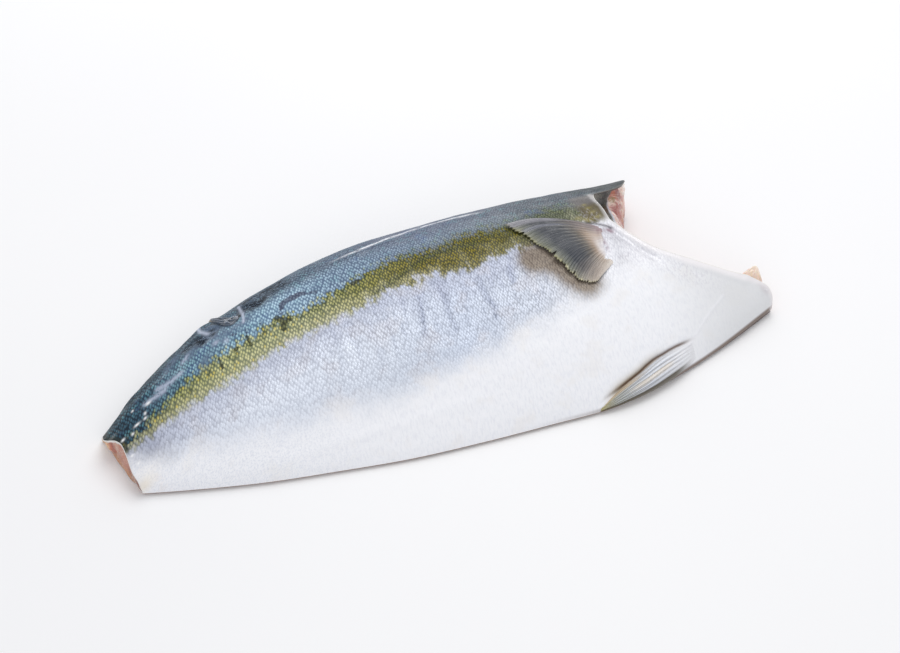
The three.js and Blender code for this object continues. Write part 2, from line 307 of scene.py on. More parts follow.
def collar_reach(a):
    """How far the roll reaches along the fish, more where the collar runs aslant."""
    return collar_roll(a) * (1 + 0.4 * smooth(0.36, 0.5, a))


def flesh_rim(a):
    """X where the flesh ends at the head's cut, inside the roll of the skin."""
    return pair_curve(HEAD_CUT, a) - collar_reach(a) * smooth(0, 0.02, a)


def tail_rim(a):
    """X where the flesh ends at the tail's cut."""
    return pair_curve(TAIL_CUT, a) + TAIL_INSET * smooth(0, 0.02, a)


def flesh_top(x, a):
    """The flesh under the skin, never lower than the ground."""
    point = body(x, a, np.full(np.shape(x), -SKIN_DEPTH))
    point[..., 2] = np.maximum(point[..., 2], 0)
    point[..., 2] = np.where(a <= 0, 0, point[..., 2])
    return point


def underside(x, a):
    """The cut face that lies on the ground, with its flakes a little hollow."""
    point = flank(x, a)
    back_edge = np.clip(1 - a / 0.06, 0, 1)[..., None] * flank_normal(x, 0 * a)
    belly_edge = np.clip(1 - (1 - a) / 0.06, 0, 1)[..., None] * flank_normal(x, 0 * a + 1)
    point[..., :2] -= SKIN_DEPTH * (back_edge + belly_edge)[..., :2]
    s = point[..., 1]
    chevron = np.abs(np.mod((x + 0.55 * np.abs(s + 14)) / 11, 1) - 0.5) * 2
    hollow = 0.35 * smooth(0.75, 1, chevron) + 0.5 * np.exp(-((s + 12) / 2.5) ** 2)
    inside = smooth(0, 0.05, a) * smooth(0, 0.05, 1 - a)
    point[..., 2] = hollow * inside
    return point


def wall(a, down, rim, foot, forward, recess):
    """Cut face from the rim under the skin, down 0, to the foot on the ground, down 1."""
    x = rim + (foot - rim) * forward - recess
    point = flank(x, a)
    top = flesh_top(rim, a)
    low = underside(foot, a)
    low[..., 2] = 0
    start = flank(rim, a)
    point[..., 2] = start[..., 2] * (1 - down)
    end = flank(foot, a)
    end[..., 2] = 0
    return point + (top - start) * (1 - down)[..., None] + (low - end) * down[..., None]


def normals_of(points):
    """Outward directions of a grid of points whose rows cross its columns facing out."""
    return unit(np.cross(np.gradient(points, axis=0), np.gradient(points, axis=1)))


def pocket_foot(a):
    """How far down the head's cut the dark pocket of the gill opening reaches."""
    return np.maximum(0.32 * smooth(0.155, 0.175, a) - 0.06 * smooth(0.26, 0.34, a), 0.02)


def head_wall(a, down):
    """The head's cut: muscle at the nape, the gill pocket, and the collar's lining."""
    nape = 1 - smooth(*NAPE_ENDS, a)
    ledge = smooth(*LEDGE_ENDS, a)
    rim = flesh_rim(a)
    foot = pair_curve(HEAD_FOOT, a)
    slope = ledge * pair_curve(NAPE_PROFILE, down) + (1 - ledge) * down**0.8
    forward = nape * slope + (1 - nape) * down
    recess = GILL_RECESS * (1 - nape) * np.sin(np.pi * down) * np.sin(np.pi * a)
    pocket = ledge * smooth(0.42, 0.34, a)
    recess = recess + GILL_POCKET * pocket * np.sin(np.pi * np.clip(down / pocket_foot(a), 0, 1))
    points = wall(a, down, rim, foot, forward, recess)
    edges = smooth(0, 0.12, down) * smooth(1, 0.93, down) * smooth(0, 0.03, a) * smooth(1, 0.97, a)
    streaks = 0.7 * swell(down * 5, a * 60, 11) + 0.3 * swell(down * 8, a * 95, 12)
    bulges = 0.5 * swell(down * 5, a * 14, 13)
    muscle = nape * smooth(-0.02, 0.06, down - pocket_foot(a))
    amount = muscle * (streaks + bulges) + (1 - nape) * bulges
    return points + normals_of(points) * (amount * edges)[..., None]


def tail_wall(a, down):
    """The tail's cut, whose flakes stand out a little."""
    rim = tail_rim(a)
    points = wall(a, down, rim, pair_curve(TAIL_FOOT, a), down, 0 * down)
    edges = smooth(0, 0.2, down) * smooth(1, 0.85, down) * smooth(0, 0.06, a) * smooth(1, 0.94, a)
    flakes = 0.7 * swell(a * 16, down * 3, 21) + 0.8 * np.sin(a * 19) * np.sin(np.pi * down)
    return points - normals_of(points) * (flakes * edges)[..., None]


def grid_faces(rows, columns, first):
    """Quads of a grid of points, wound so that rows cross columns faces out."""
    index = first + np.arange(rows * columns).reshape(rows, columns)
    corners = index[:-1, :-1], index[1:, :-1], index[1:, 1:], index[:-1, 1:]
    return np.stack(corners, axis=-1).reshape(-1, 4)


belly_low = even_curve(BELLY_Y, np.linspace(0, 1, 401)).min()
FISH_ORIGIN = np.array([cad_low.x / MM - FLANK_TAIL, cad_low.y / MM - belly_low, 0])


def make_piece(name, grids, facts, materials, sharp=None):
    """One closed piece from grids of points in fish millimetres, welded where they meet.

    facts holds, for each named surface value, one array for each grid. Each grid has its own material.
    """
    points = np.concatenate([g.reshape(-1, 3) for g in grids])
    starts = np.cumsum([0] + [g.shape[0] * g.shape[1] for g in grids])
    faces = [grid_faces(g.shape[0], g.shape[1], start) for g, start in zip(grids, starts)]
    owners = np.repeat(np.arange(len(grids)), [len(f) for f in faces])
    faces = np.concatenate(faces)

    mesh = bpy.data.meshes.new(name)
    mesh.from_pydata(((points + FISH_ORIGIN) * MM).tolist(), [], faces.tolist())
    for material in dict.fromkeys(materials):
        mesh.materials.append(material)
    slots = [list(dict.fromkeys(materials)).index(m) for m in materials]
    mesh.polygons.foreach_set("material_index", np.array(slots)[owners].astype(np.int32))
    for label, values in facts.items():
        vector = values[0].ndim == 3
        flat = np.concatenate([v.reshape(-1, 3) if vector else v.reshape(-1) for v in values])
        attribute = mesh.attributes.new(label, "FLOAT_VECTOR" if vector else "FLOAT", "CORNER")
        field = "vector" if vector else "value"
        attribute.data.foreach_set(field, flat[faces.reshape(-1)].astype(np.float32).reshape(-1))

    welded = bmesh.new()
    welded.from_mesh(mesh)
    bmesh.ops.remove_doubles(welded, verts=welded.verts, dist=WELD_REACH * MM)
    welded.to_mesh(mesh)
    welded.free()
    mesh.shade_smooth()
    if sharp:
        mesh.set_sharp_from_angle(angle=math.radians(sharp))
    made = bpy.data.objects.new(name, mesh)
    bpy.context.scene.collection.objects.link(made)
    return made


def paint(red, green, blue):
    """A colour as seen, 0 to 255, as the light that it gives back."""
    seen = np.array([red, green, blue]) / 255
    light = np.where(seen <= 0.04045, seen / 12.92, ((seen + 0.055) / 1.055) ** 2.4)
    return (*light.tolist(), 1.0)


class Value:
    """A number, colour or direction in the nodes of a surface, with the sums made of it."""

    def __init__(self, socket):
        self.socket = socket
        self.tree = socket.id_data

    def __add__(self, other):
        return calc("ADD", self, other)

    def __sub__(self, other):
        return calc("SUBTRACT", self, other)

    def __rsub__(self, other):
        return calc("SUBTRACT", other, self)

    def __mul__(self, other):
        return calc("MULTIPLY", self, other)

    def __truediv__(self, other):
        return calc("DIVIDE", self, other)

    def __pow__(self, other):
        return calc("POWER", self, other)

    def __abs__(self):
        return calc("ABSOLUTE", self)

    __radd__ = __add__
    __rmul__ = __mul__


def node(tree, kind, takes=None, **settings):
    """One node with its settings, and its sockets linked or set."""
    made = tree.nodes.new("ShaderNode" + kind)
    for name, value in settings.items():
        setattr(made, name, value)
    for name, value in (takes or {}).items():
        if isinstance(value, Value):
            tree.links.new(value.socket, made.inputs[name])
        else:
            made.inputs[name].default_value = value
    return made


def given(made):
    """What a node gives, by name."""
    return {socket.name: Value(socket) for socket in made.outputs}


def tree_of(*values):
    """The node tree that the values are in."""
    return next(value.tree for value in values if isinstance(value, Value))


def calc(operation, *values):
    """A sum of numbers and values."""
    made = node(tree_of(*values), "Math", dict(enumerate(values)), operation=operation)
    return Value(made.outputs[0])


def clipped(value):
    """A sum held between 0 and 1."""
    value.socket.node.use_clamp = True
    return value


MIX_SOCKETS = {"FLOAT": (2, 3, 0), "RGBA": (6, 7, 2)}


def mixed(factor, one, other, kind="RGBA"):
    """One colour or number that turns into another as the factor goes from 0 to 1."""
    first, second, out = MIX_SOCKETS[kind]
    takes = {0: factor, first: one, second: other}
    return Value(node(tree_of(factor, one, other), "Mix", takes, data_type=kind).outputs[out])


def fact(tree, name, vector=False):
    """A value that the mesh holds for its surface."""
    made = node(tree, "Attribute", attribute_name=name)
    return Value(made.outputs["Vector" if vector else "Fac"])


def step(value, low, high):
    """0 below low and 1 above high, softly."""
    takes = {"Value": value, "From Min": low, "From Max": high}
    return Value(node(value.tree, "MapRange", takes, interpolation_type="SMOOTHSTEP").outputs["Result"])


def ramp(value, *stops):
    """Colours along a value, as (place, red, green, blue) stops."""
    made = node(value.tree, "ValToRGB", {"Fac": value})
    elements = made.color_ramp.elements
    for element, (place, *colour) in zip(elements, (stops[0], stops[-1])):
        element.position = place
        element.color = paint(*colour)
    for place, *colour in stops[1:-1]:
        elements.new(place).color = paint(*colour)
    return Value(made.outputs["Color"])


def stretched(place, scale, turn=0.0):
    """A place scaled along its axes and turned about the third, in degrees."""
    takes = {"Vector": place, "Scale": scale, "Rotation": (0, 0, math.radians(turn))}
    return Value(node(place.tree, "Mapping", takes).outputs["Vector"])


def noise(place, scale, detail=2.0, roughness=0.5, distortion=0.0, turn=0.0):
    """A cloudy value about one half, drawn out where each axis has a scale of its own."""
    if isinstance(scale, tuple):
        place = stretched(place, scale, turn)
        scale = 1.0
    takes = {
        "Vector": place, "Scale": scale, "Detail": detail, "Roughness": roughness, "Distortion": distortion,
    }
    return Value(node(place.tree, "TexNoise", takes).outputs["Fac"])


def parts(place):
    """The X, Y and Z of a place."""
    return given(node(place.tree, "SeparateXYZ", {"Vector": place})).values()


def new_material(name):
    """An empty material with its tree and its shader."""
    material = bpy.data.materials.new(name)
    material.use_nodes = True
    tree = material.node_tree
    tree.nodes.clear()
    shader = tree.nodes.new("ShaderNodeBsdfPrincipled")
    output = tree.nodes.new("ShaderNodeOutputMaterial")
    tree.links.new(shader.outputs["BSDF"], output.inputs["Surface"])
    return material, tree, shader


def wire(shader, links, **constants):
    """Links values to the shader, and sets its constant ones."""
    for name, value in links.items():
        shader.id_data.links.new(value.socket, shader.inputs[name])
    for name, value in constants.items():
        shader.inputs[name.replace("_", " ")].default_value = value


def wet_look(shader, colour, film, height, strength, depth, **constants):
    """A wet face: its colour, its film, and a relief so many millimetres deep."""
    bump = node(shader.id_data, "Bump", {"Height": height, "Strength": strength, "Distance": depth * MM})
    wire(shader, {
        "Base Color": colour, "Roughness": film["Roughness"], "Coat Weight": film["Coat"],
        "Normal": Value(bump.outputs["Normal"]),
    }, **constants)


def node_group(name, takes, gives):
    """An empty effect with named sockets, and the values that it takes."""
    tree = bpy.data.node_groups.new(name, "ShaderNodeTree")
    for label, kind, value in takes:
        socket = tree.interface.new_socket(label, in_out="INPUT", socket_type="NodeSocket" + kind)
        socket.default_value = value
    for label, kind in gives:
        tree.interface.new_socket(label, in_out="OUTPUT", socket_type="NodeSocket" + kind)
    return tree, given(tree.nodes.new("NodeGroupInput"))


def hand_out(effect, **values):
    """Links values to what an effect gives."""
    ends = effect.nodes.new("NodeGroupOutput").inputs
    for name, value in values.items():
        effect.links.new(value.socket, ends[name.replace("_", " ")])


def group(effect, **takes):
    """What an effect gives at a place, by name."""
    return given(node(takes["Place"].tree, "Group", takes, node_tree=effect))


# Wet film: the water and mucus on every face, thicker in some places, drying in others.
wet_film, film_in = node_group(
    "wet_film",
    [("Place", "Vector", (0, 0, 0)), ("Driest", "Float", 0.5), ("Wettest", "Float", 0.25)],
    [("Roughness", "Float"), ("Coat", "Float"), ("Height", "Float")],
)
film_pools = noise(film_in["Place"], 0.11, 3.0, 0.6)
film_grain = noise(film_in["Place"], 1.3, 2.0)
film_wet = step(film_pools, 0.38, 0.62)
film_rough = mixed(film_wet, film_in["Driest"], film_in["Wettest"], "FLOAT")
hand_out(
    wet_film, Roughness=film_rough + (film_grain * 0.12 - 0.06), Coat=film_wet * 0.5 + 0.35,
    Height=film_pools * 0.7 + film_grain)

# Muscle grain: fibres drawn out along one axis, with blood and fat between them.
muscle_grain, grain_in = node_group(
    "muscle_grain",
    [("Place", "Vector", (0, 0, 0)), ("Blood", "Float", 0.5)],
    [("Color", "Color"), ("Height", "Float")],
)
fibres = noise(grain_in["Place"], 1.0, 4.0, 0.65, distortion=0.6)
clots = noise(grain_in["Place"], (0.35, 0.5, 0.5), 2.0)
fibre_colour = ramp(
    fibres, (0.3, 168, 92, 84), (0.42, 196, 134, 122), (0.52, 212, 168, 152), (0.62, 228, 200, 182),
    (0.75, 238, 224, 208))
clotted = step(clots + grain_in["Blood"], 1.0, 1.16)
hand_out(muscle_grain, Color=mixed(clotted, fibre_colour, paint(138, 56, 52)), Height=fibres)


def patch(across, down, centre, size):
    """Soft oval mask on a cut face."""
    dx = (across - centre[0]) / size[0]
    dy = (down - centre[1]) / size[1]
    return step(dx * dx + dy * dy, 1.4, 0.3)


def over(colour, mask, strength, other):
    """A colour with another laid over it where a mask shows."""
    return mixed(clipped(mask * strength), colour, other)


# The light that sinks into bare flesh.
FLESH_GLOW = {"Subsurface_Weight": 0.1, "Subsurface_Scale": 2 * MM}

# Blood, fat and membranes on the nape, as (share across, share down), size, strength, colour.
NAPE_PATCHES = [
    ((0.1, 0.17), (0.035, 0.24), 0.85, (240, 226, 206)),
    ((0.125, 0.62), (0.03, 0.28), 0.5, (222, 172, 150)),
    ((0.158, 0.15), (0.01, 0.15), 0.95, (178, 84, 34)),
    ((0.146, 0.18), (0.008, 0.18), 0.9, (132, 50, 40)),
    ((0.185, 0.5), (0.02, 0.2), 0.75, (160, 62, 56)),
    ((0.155, 0.48), (0.011, 0.18), 0.8, (164, 70, 58)),
    ((0.17, 0.7), (0.016, 0.14), 0.8, (170, 76, 60)),
    ((0.155, 0.87), (0.02, 0.08), 0.85, (196, 112, 56)),
    ((0.215, 0.6), (0.02, 0.2), 0.6, (198, 142, 122)),
    ((0.163, 0.25), (0.005, 0.1), 0.6, (140, 132, 74)),
]


def nape_muscle(down, across):
    """Muscle of the nape, whose fibres run down the cut."""
    axes = {"X": down * 4.0, "Y": across * 48.0, "Z": across * 5.0}
    streak = Value(node(down.tree, "CombineXYZ", axes).outputs[0])
    muscle = group(muscle_grain, Place=streak, Blood=0.48)
    fat = step(muscle["Height"], 0.52, 0.62) * 0.55
    return muscle, mixed(fat, muscle["Color"], paint(238, 216, 202)), fat


def nape_material():
    """The muscle in front of the gill opening, with its pocket painted dark as shade, membrane and fat."""
    material, tree, shader = new_material("nape_cut")
    place = fact(tree, "place_mm", vector=True)
    down = fact(tree, "down")
    across = fact(tree, "across")
    past_pocket = fact(tree, "past_pocket")
    muscle, colour, fat = nape_muscle(down, across)
    wander = noise(place, 0.5, 3.0)
    bent_across = across + wander * 0.02 - 0.01
    bent_down = down + wander * 0.16 - 0.08
    for centre, size, strength, tint in NAPE_PATCHES:
        colour = over(colour, patch(bent_across, bent_down, centre, size), strength, paint(*tint))
    colour = mixed(fat, colour, paint(238, 216, 202))

    # The pocket of the gill opening is painted dark as its shade, olive towards its edges.
    pocket = ramp(
        wander * 0.1 + past_pocket + 0.25, (0.02, 104, 98, 78), (0.12, 62, 60, 46), (0.2, 26, 26, 24),
        (0.3, 52, 50, 34))
    colour = mixed(step(past_pocket, 0.015, -0.015), colour, pocket)
    membrane = step(past_pocket, -0.015, 0.0) * step(past_pocket, 0.04, 0.015)
    membrane = membrane * step(across, 0.155, 0.185)
    colour = over(colour, membrane, 0.8, paint(168, 176, 190))
    shadow = step(down, 0.045, 0.0) * step(across, 0.08, 0.12)
    colour = over(colour, shadow, 0.85, paint(46, 36, 36))

    film = group(wet_film, Place=place, Driest=0.42, Wettest=0.22)
    height = muscle["Height"] * 1.2 + film["Height"]
    wet_look(shader, colour, film, height, 0.5, 0.6, Coat_Roughness=0.12, **FLESH_GLOW)
    return material


def tail_material():
    """The tail's cut: fat under the skin, light muscle, and the dark muscle of the side."""
    material, tree, shader = new_material("tail_cut")
    place = fact(tree, "place_mm", vector=True)
    down = fact(tree, "down")
    across = fact(tree, "across")
    bent = across + noise(place, 0.25, 3.0) * 0.08 - 0.04
    colour = ramp(
        bent, (0.0, 244, 232, 206), (0.12, 236, 200, 154), (0.26, 230, 186, 136), (0.33, 186, 90, 50),
        (0.37, 150, 62, 40), (0.42, 172, 100, 74), (0.46, 204, 160, 136), (0.5, 186, 118, 92),
        (0.64, 188, 120, 92), (0.72, 178, 104, 74), (0.76, 136, 60, 42), (0.81, 176, 130, 104),
        (0.88, 166, 120, 96), (0.93, 120, 66, 50), (1.0, 96, 54, 44))
    grain = stretched(place, (0.6, 0.45, 1.4))
    muscle = group(muscle_grain, Place=grain, Blood=0.3)
    colour = mixed(0.22, colour, muscle["Color"])
    tan = step(down + noise(place, 0.3) * 0.3, 0.75, 1.1)
    colour = over(colour, tan, 0.7, paint(204, 152, 108))
    scallop = noise(place, 0.5, 3.0) * 0.16 - 0.04
    fat = step(down - scallop, 0.05, 0.0)
    colour = mixed(fat, colour, paint(234, 230, 226))
    film = group(wet_film, Place=place, Driest=0.4, Wettest=0.22)
    height = muscle["Height"] + film["Height"]
    wet_look(shader, colour, film, height, 0.4, 0.5, Coat_Roughness=0.12, **FLESH_GLOW)
    return material


def underside_material():
    """The face off the backbone: flakes in chevrons, the blood line, and the belly's pale lining."""
    material, tree, shader = new_material("bone_side")
    place = fact(tree, "place_mm", vector=True)
    x, y, _ = parts(place)
    from_line_y = abs(y + 14.0)
    wander = noise(place, 0.06, 2.0) * 8.0
    run = from_line_y * 0.55 + x + wander
    phase = calc("FRACT", run / 11.0)
    seam = abs(phase - 0.5) * 2.0
    grain = stretched(place, (0.2, 0.9, 0.5))
    muscle = group(muscle_grain, Place=grain, Blood=0.2)
    colour = mixed(0.45, paint(214, 160, 146), muscle["Color"])
    colour = mixed(step(seam, 0.72, 0.98) * 0.6, colour, paint(236, 214, 200))
    line = step(from_line_y + wander, 13.0, 6.0)
    colour = mixed(line * 0.85, colour, paint(134, 52, 46))
    belly = step(y, -44.0, -52.0) * step(x, -60.0, -30.0)
    colour = mixed(belly * 0.8, colour, paint(232, 216, 208))
    # The lip under the belly's skin: brown flesh, darkened towards the throat as painted shade under the
    # skin's edge.
    lip = step(fact(tree, "across"), 0.995, 1.0)
    lip_flesh_and_shade = mixed(step(x, 100.0, 150.0), paint(140, 112, 94), paint(66, 46, 36))
    colour = over(colour, lip, 0.9, lip_flesh_and_shade)
    film = group(wet_film, Place=place, Driest=0.45, Wettest=0.25)
    height = muscle["Height"] + film["Height"]
    wet_look(shader, colour, film, height, 0.4, 0.5, Coat_Roughness=0.15)
    return material


def lining_material():
    """The smooth lining of the gill opening behind the collar, pink where the blood shows through."""
    material, tree, shader = new_material("gill_lining")
    place = fact(tree, "place_mm", vector=True)
    down = fact(tree, "down")
    veins = noise(place, (0.1, 0.1, 0.25), 5.0, 0.6, distortion=1.5)
    colour = ramp(veins, (0.3, 196, 138, 132), (0.45, 218, 186, 180), (0.6, 230, 214, 208))
    colour = mixed(step(down, 0.6, 1.0), colour, paint(206, 150, 134))
    across = fact(tree, "across")
    reach = across + veins * 0.12 - 0.06
    colour = mixed(step(reach, 0.5, 0.43), colour, nape_muscle(down, across)[1])
    film = group(wet_film, Place=place, Driest=0.4, Wettest=0.2)
    wet_look(shader, colour, film, film["Height"], 0.3, 0.5, Coat_Roughness=0.12)
    return material


shares = share_at(np.linspace(0, 1, STEPS_ACROSS + 1))
lengths = np.linspace(0, 1, STEPS_LONG + 1)
downs = np.linspace(0, 1, STEPS_WALL + 1)

top_u, top_a = np.meshgrid(lengths, shares[::-1], indexing="ij")
flesh_over = flesh_top(tail_rim(top_a) + (flesh_rim(top_a) - tail_rim(top_a)) * top_u, top_a)
head_a, head_down = np.meshgrid(shares, downs, indexing="ij")
flesh_head = head_wall(head_a, head_down)
tail_a, tail_down = np.meshgrid(shares[::-1], downs, indexing="ij")
flesh_tail = tail_wall(tail_a, tail_down)
low_u, low_a = np.meshgrid(lengths, shares, indexing="ij")
low_tail = pair_curve(TAIL_FOOT, low_a)
flesh_under = underside(low_tail + (pair_curve(HEAD_FOOT, low_a) - low_tail) * low_u, low_a)
flesh_under[..., 2] *= smooth(0, 0.02, low_u) * smooth(1, 0.98, low_u)
# Under the belly's skin a narrow lip of flesh goes straight down to the ground.
lip_rise = (flesh_over[:, 0] - flesh_under[:, -1])[:, None]
flesh_lip = flesh_under[:, -1][:, None] + lip_rise * downs[None, :, None]

nape_columns = int(np.searchsorted(shares, NAPE_SHARE))


def on_grids(over, head, tail, under, lip):
    """A value for each grid of the flesh, with the head's cut parted into nape and collar."""
    return [over, head[: nape_columns + 1], head[nape_columns:], tail, under, lip]


flesh_grids = on_grids(flesh_over, flesh_head, flesh_tail, flesh_under, flesh_lip)
lip_zero = 0 * flesh_lip[..., 0]
past_pocket = head_down - pocket_foot(head_a)
flesh_facts = {
    "place_mm": flesh_grids,
    "down": on_grids(0 * top_a, head_down, tail_down, 0 * low_a + 1, lip_zero + 1),
    "past_pocket": on_grids(0 * top_a, past_pocket, 0 * tail_down, 0 * low_a, lip_zero),
    "across": on_grids(top_a, head_a, tail_a, low_a, lip_zero + 1),
}
bone_side = underside_material()
flesh_materials = [bone_side, nape_material(), lining_material(), tail_material(), bone_side, bone_side]
flesh = make_piece("flesh", flesh_grids, flesh_facts, flesh_materials, FLESH_CREASE)
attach(flesh, "root")
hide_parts("fillet")

# The skin. It is thin and wet, grown to the flesh, with small scales set in staggered rows: slate
# blue on the back, a yellow-olive stripe along the side, silver under it and smooth white on the
# belly. It is cut through at the tail and along the back and belly, and rolls under at the collar.
SKIN_LONG = 400
SKIN_ACROSS = 205
SKIN_HALF = 0.45
SKIN_BACK_SHARE = 0.0004
EDGE_TURNS = 6
EDGE_TUCK = 1.5
SKIN_LOWEST = 0.15

# Millimetres between scales along a row, and between every second row, as (X, spacing).
SCALE_LENGTH = [(-246, 2.4), (-100, 2.4), (10, 2.0), (224, 1.9)]
SCALE_HEIGHT = [(-246, 4.5), (-120, 4.5), (-20, 4.0), (224, 3.8)]

# Lines between the skin's colours, as (X, share across).
STRIPE_TOP = [
    (-246, 0.61), (-230, 0.58), (-220, 0.54), (-200, 0.455), (-180, 0.38), (-160, 0.36), (-140, 0.35),
    (-120, 0.335), (-100, 0.355), (-80, 0.34), (-60, 0.32), (-40, 0.285), (-20, 0.275), (0, 0.275),
    (20, 0.26), (40, 0.262), (60, 0.262), (85, 0.225), (102, 0.24), (116.5, 0.3), (224, 0.3),
]
STRIPE_LOW = [
    (-246, 0.67), (-230, 0.655), (-220, 0.625), (-200, 0.58), (-180, 0.545), (-160, 0.525), (-140, 0.502),
    (-120, 0.48), (-100, 0.47), (-80, 0.46), (-60, 0.445), (-40, 0.42), (-20, 0.415), (0, 0.422),
    (20, 0.42), (40, 0.4), (60, 0.39), (85, 0.36), (116, 0.345), (224, 0.345),
]
SCALES_END = [
    (-246, 0.9), (-214.5, 0.893), (-189, 0.895), (-157, 0.885), (-124, 0.87), (-89.5, 0.831),
    (-55.5, 0.819), (-20, 0.781), (16.5, 0.744), (47.5, 0.695), (78, 0.658), (120, 0.6), (224, 0.6),
]
# The collar's bare rim: millimetres that it reaches in from the cut, by share across.
RIM_WIDTH = [(0, 0.5), (0.3, 0.9), (0.36, 2.2), (0.42, 3.4), (0.5, 5), (0.75, 4.5), (0.86, 2.5), (1, 1)]


def turned_edge(rim, inner, normal, radius):
    """How far each row of an edge lies from the rim as the skin turns out, down and back under."""
    along = unit(np.gradient(rim, axis=0))
    out = unit(np.cross(normal, along))
    out *= np.sign(np.sum(out * (rim - inner), axis=-1, keepdims=True))
    radius = radius[:, None]
    turns = np.pi * np.arange(1, EDGE_TURNS + 1) / EDGE_TURNS
    rows = [radius * (np.sin(turn) * out - (1 - np.cos(turn)) * normal) for turn in turns]
    rows.append(-EDGE_TUCK * out - 2 * radius * normal)
    return np.stack(rows)


skin_shares = SKIN_BACK_SHARE + (1 - SKIN_BACK_SHARE) * share_at(np.linspace(0, 1, SKIN_ACROSS + 1))
skin_u, skin_a = np.meshgrid(np.linspace(0, 1, SKIN_LONG + 1), skin_shares[::-1], indexing="ij")
skin_tail = pair_curve(TAIL_CUT, skin_a) + SKIN_HALF
skin_head = pair_curve(HEAD_CUT, skin_a) - collar_reach(skin_a)
skin_x = skin_tail + (skin_head - skin_tail) * skin_u
skin_core = body(skin_x, skin_a)
skin_out = normals_of(skin_core)
thin = np.full(SKIN_LONG + 1, SKIN_HALF)
belly_turns = turned_edge(skin_core[:, 0], skin_core[:, 1], skin_out[:, 0], thin)
back_turns = turned_edge(skin_core[:, -1], skin_core[:, -2], skin_out[:, -1], thin)
tail_radius = np.full(SKIN_ACROSS + 1, SKIN_HALF)
tail_turns = turned_edge(skin_core[0], skin_core[1], skin_out[0], tail_radius)
head_turns = turned_edge(skin_core[-1], skin_core[-2], skin_out[-1], collar_roll(skin_shares[::-1]))

rows_out = EDGE_TURNS + 1
border = ((rows_out, rows_out), (rows_out, rows_out))
skin_points = np.pad(skin_core, (*border, (0, 0)), mode="edge")
spread = ((0, 0), (rows_out, rows_out), (0, 0))
skin_points[:rows_out] += np.pad(tail_turns[::-1], spread, mode="edge")
skin_points[-rows_out:] += np.pad(head_turns, spread, mode="edge")
skin_points[:, :rows_out] += np.pad(belly_turns[::-1], spread, mode="edge").transpose(1, 0, 2)
skin_points[:, -rows_out:] += np.pad(back_turns, spread, mode="edge").transpose(1, 0, 2)
skin_points[..., 2] = np.maximum(skin_points[..., 2], SKIN_LOWEST)


def at_edge(values):
    """Values of the skin carried out over its turned edge."""
    return np.pad(values, border, mode="edge")


skin_s = over_skin(skin_x, skin_a)


def past_line(line):
    """Millimetres over the skin beyond a line, towards the belly."""
    return skin_s - over_skin(skin_x, pair_curve(line, skin_x))


def near_line(width, *line):
    """Soft mask along a line of (X, share), with a half width in millimetres."""
    off, _ = from_line(skin_x, skin_a, line)
    return np.exp(-((off / width) ** 2))


def skin_spots(*places):
    """Soft round masks, as (X, share, length, height) and a turn in degrees."""
    return sum(spot(skin_x, skin_a, (x, a), (long, high), *turn) for x, a, long, high, *turn in places)


# Scale rows: a unit square for each scale, turned half across, counted along the fish and over it.
row_x = np.linspace(FLANK_TAIL, FLANK_HEAD, int(FLANK_LENGTH) + 1)
row_count = np.cumsum(1 / pair_curve(SCALE_LENGTH, row_x))
scale_u = np.interp(skin_x, row_x, row_count)
scale_v = skin_s / pair_curve(SCALE_HEIGHT, skin_x)
scale_place = np.stack([at_edge(scale_u + scale_v), at_edge(scale_v - scale_u), at_edge(0 * skin_s)], axis=-1)

edge_mask = np.ones(skin_points.shape[:2])
edge_mask[rows_out:-rows_out, rows_out:-rows_out] = 0
collar_off = np.minimum(from_line(skin_x, skin_a, COLLAR_LINE)[0], from_line(skin_x, skin_a, THROAT_LINE)[0])
bare_rim = smooth(2.6, -2.2, collar_off - pair_curve(RIM_WIDTH, skin_a)) * smooth(0.14, 0.2, skin_a)

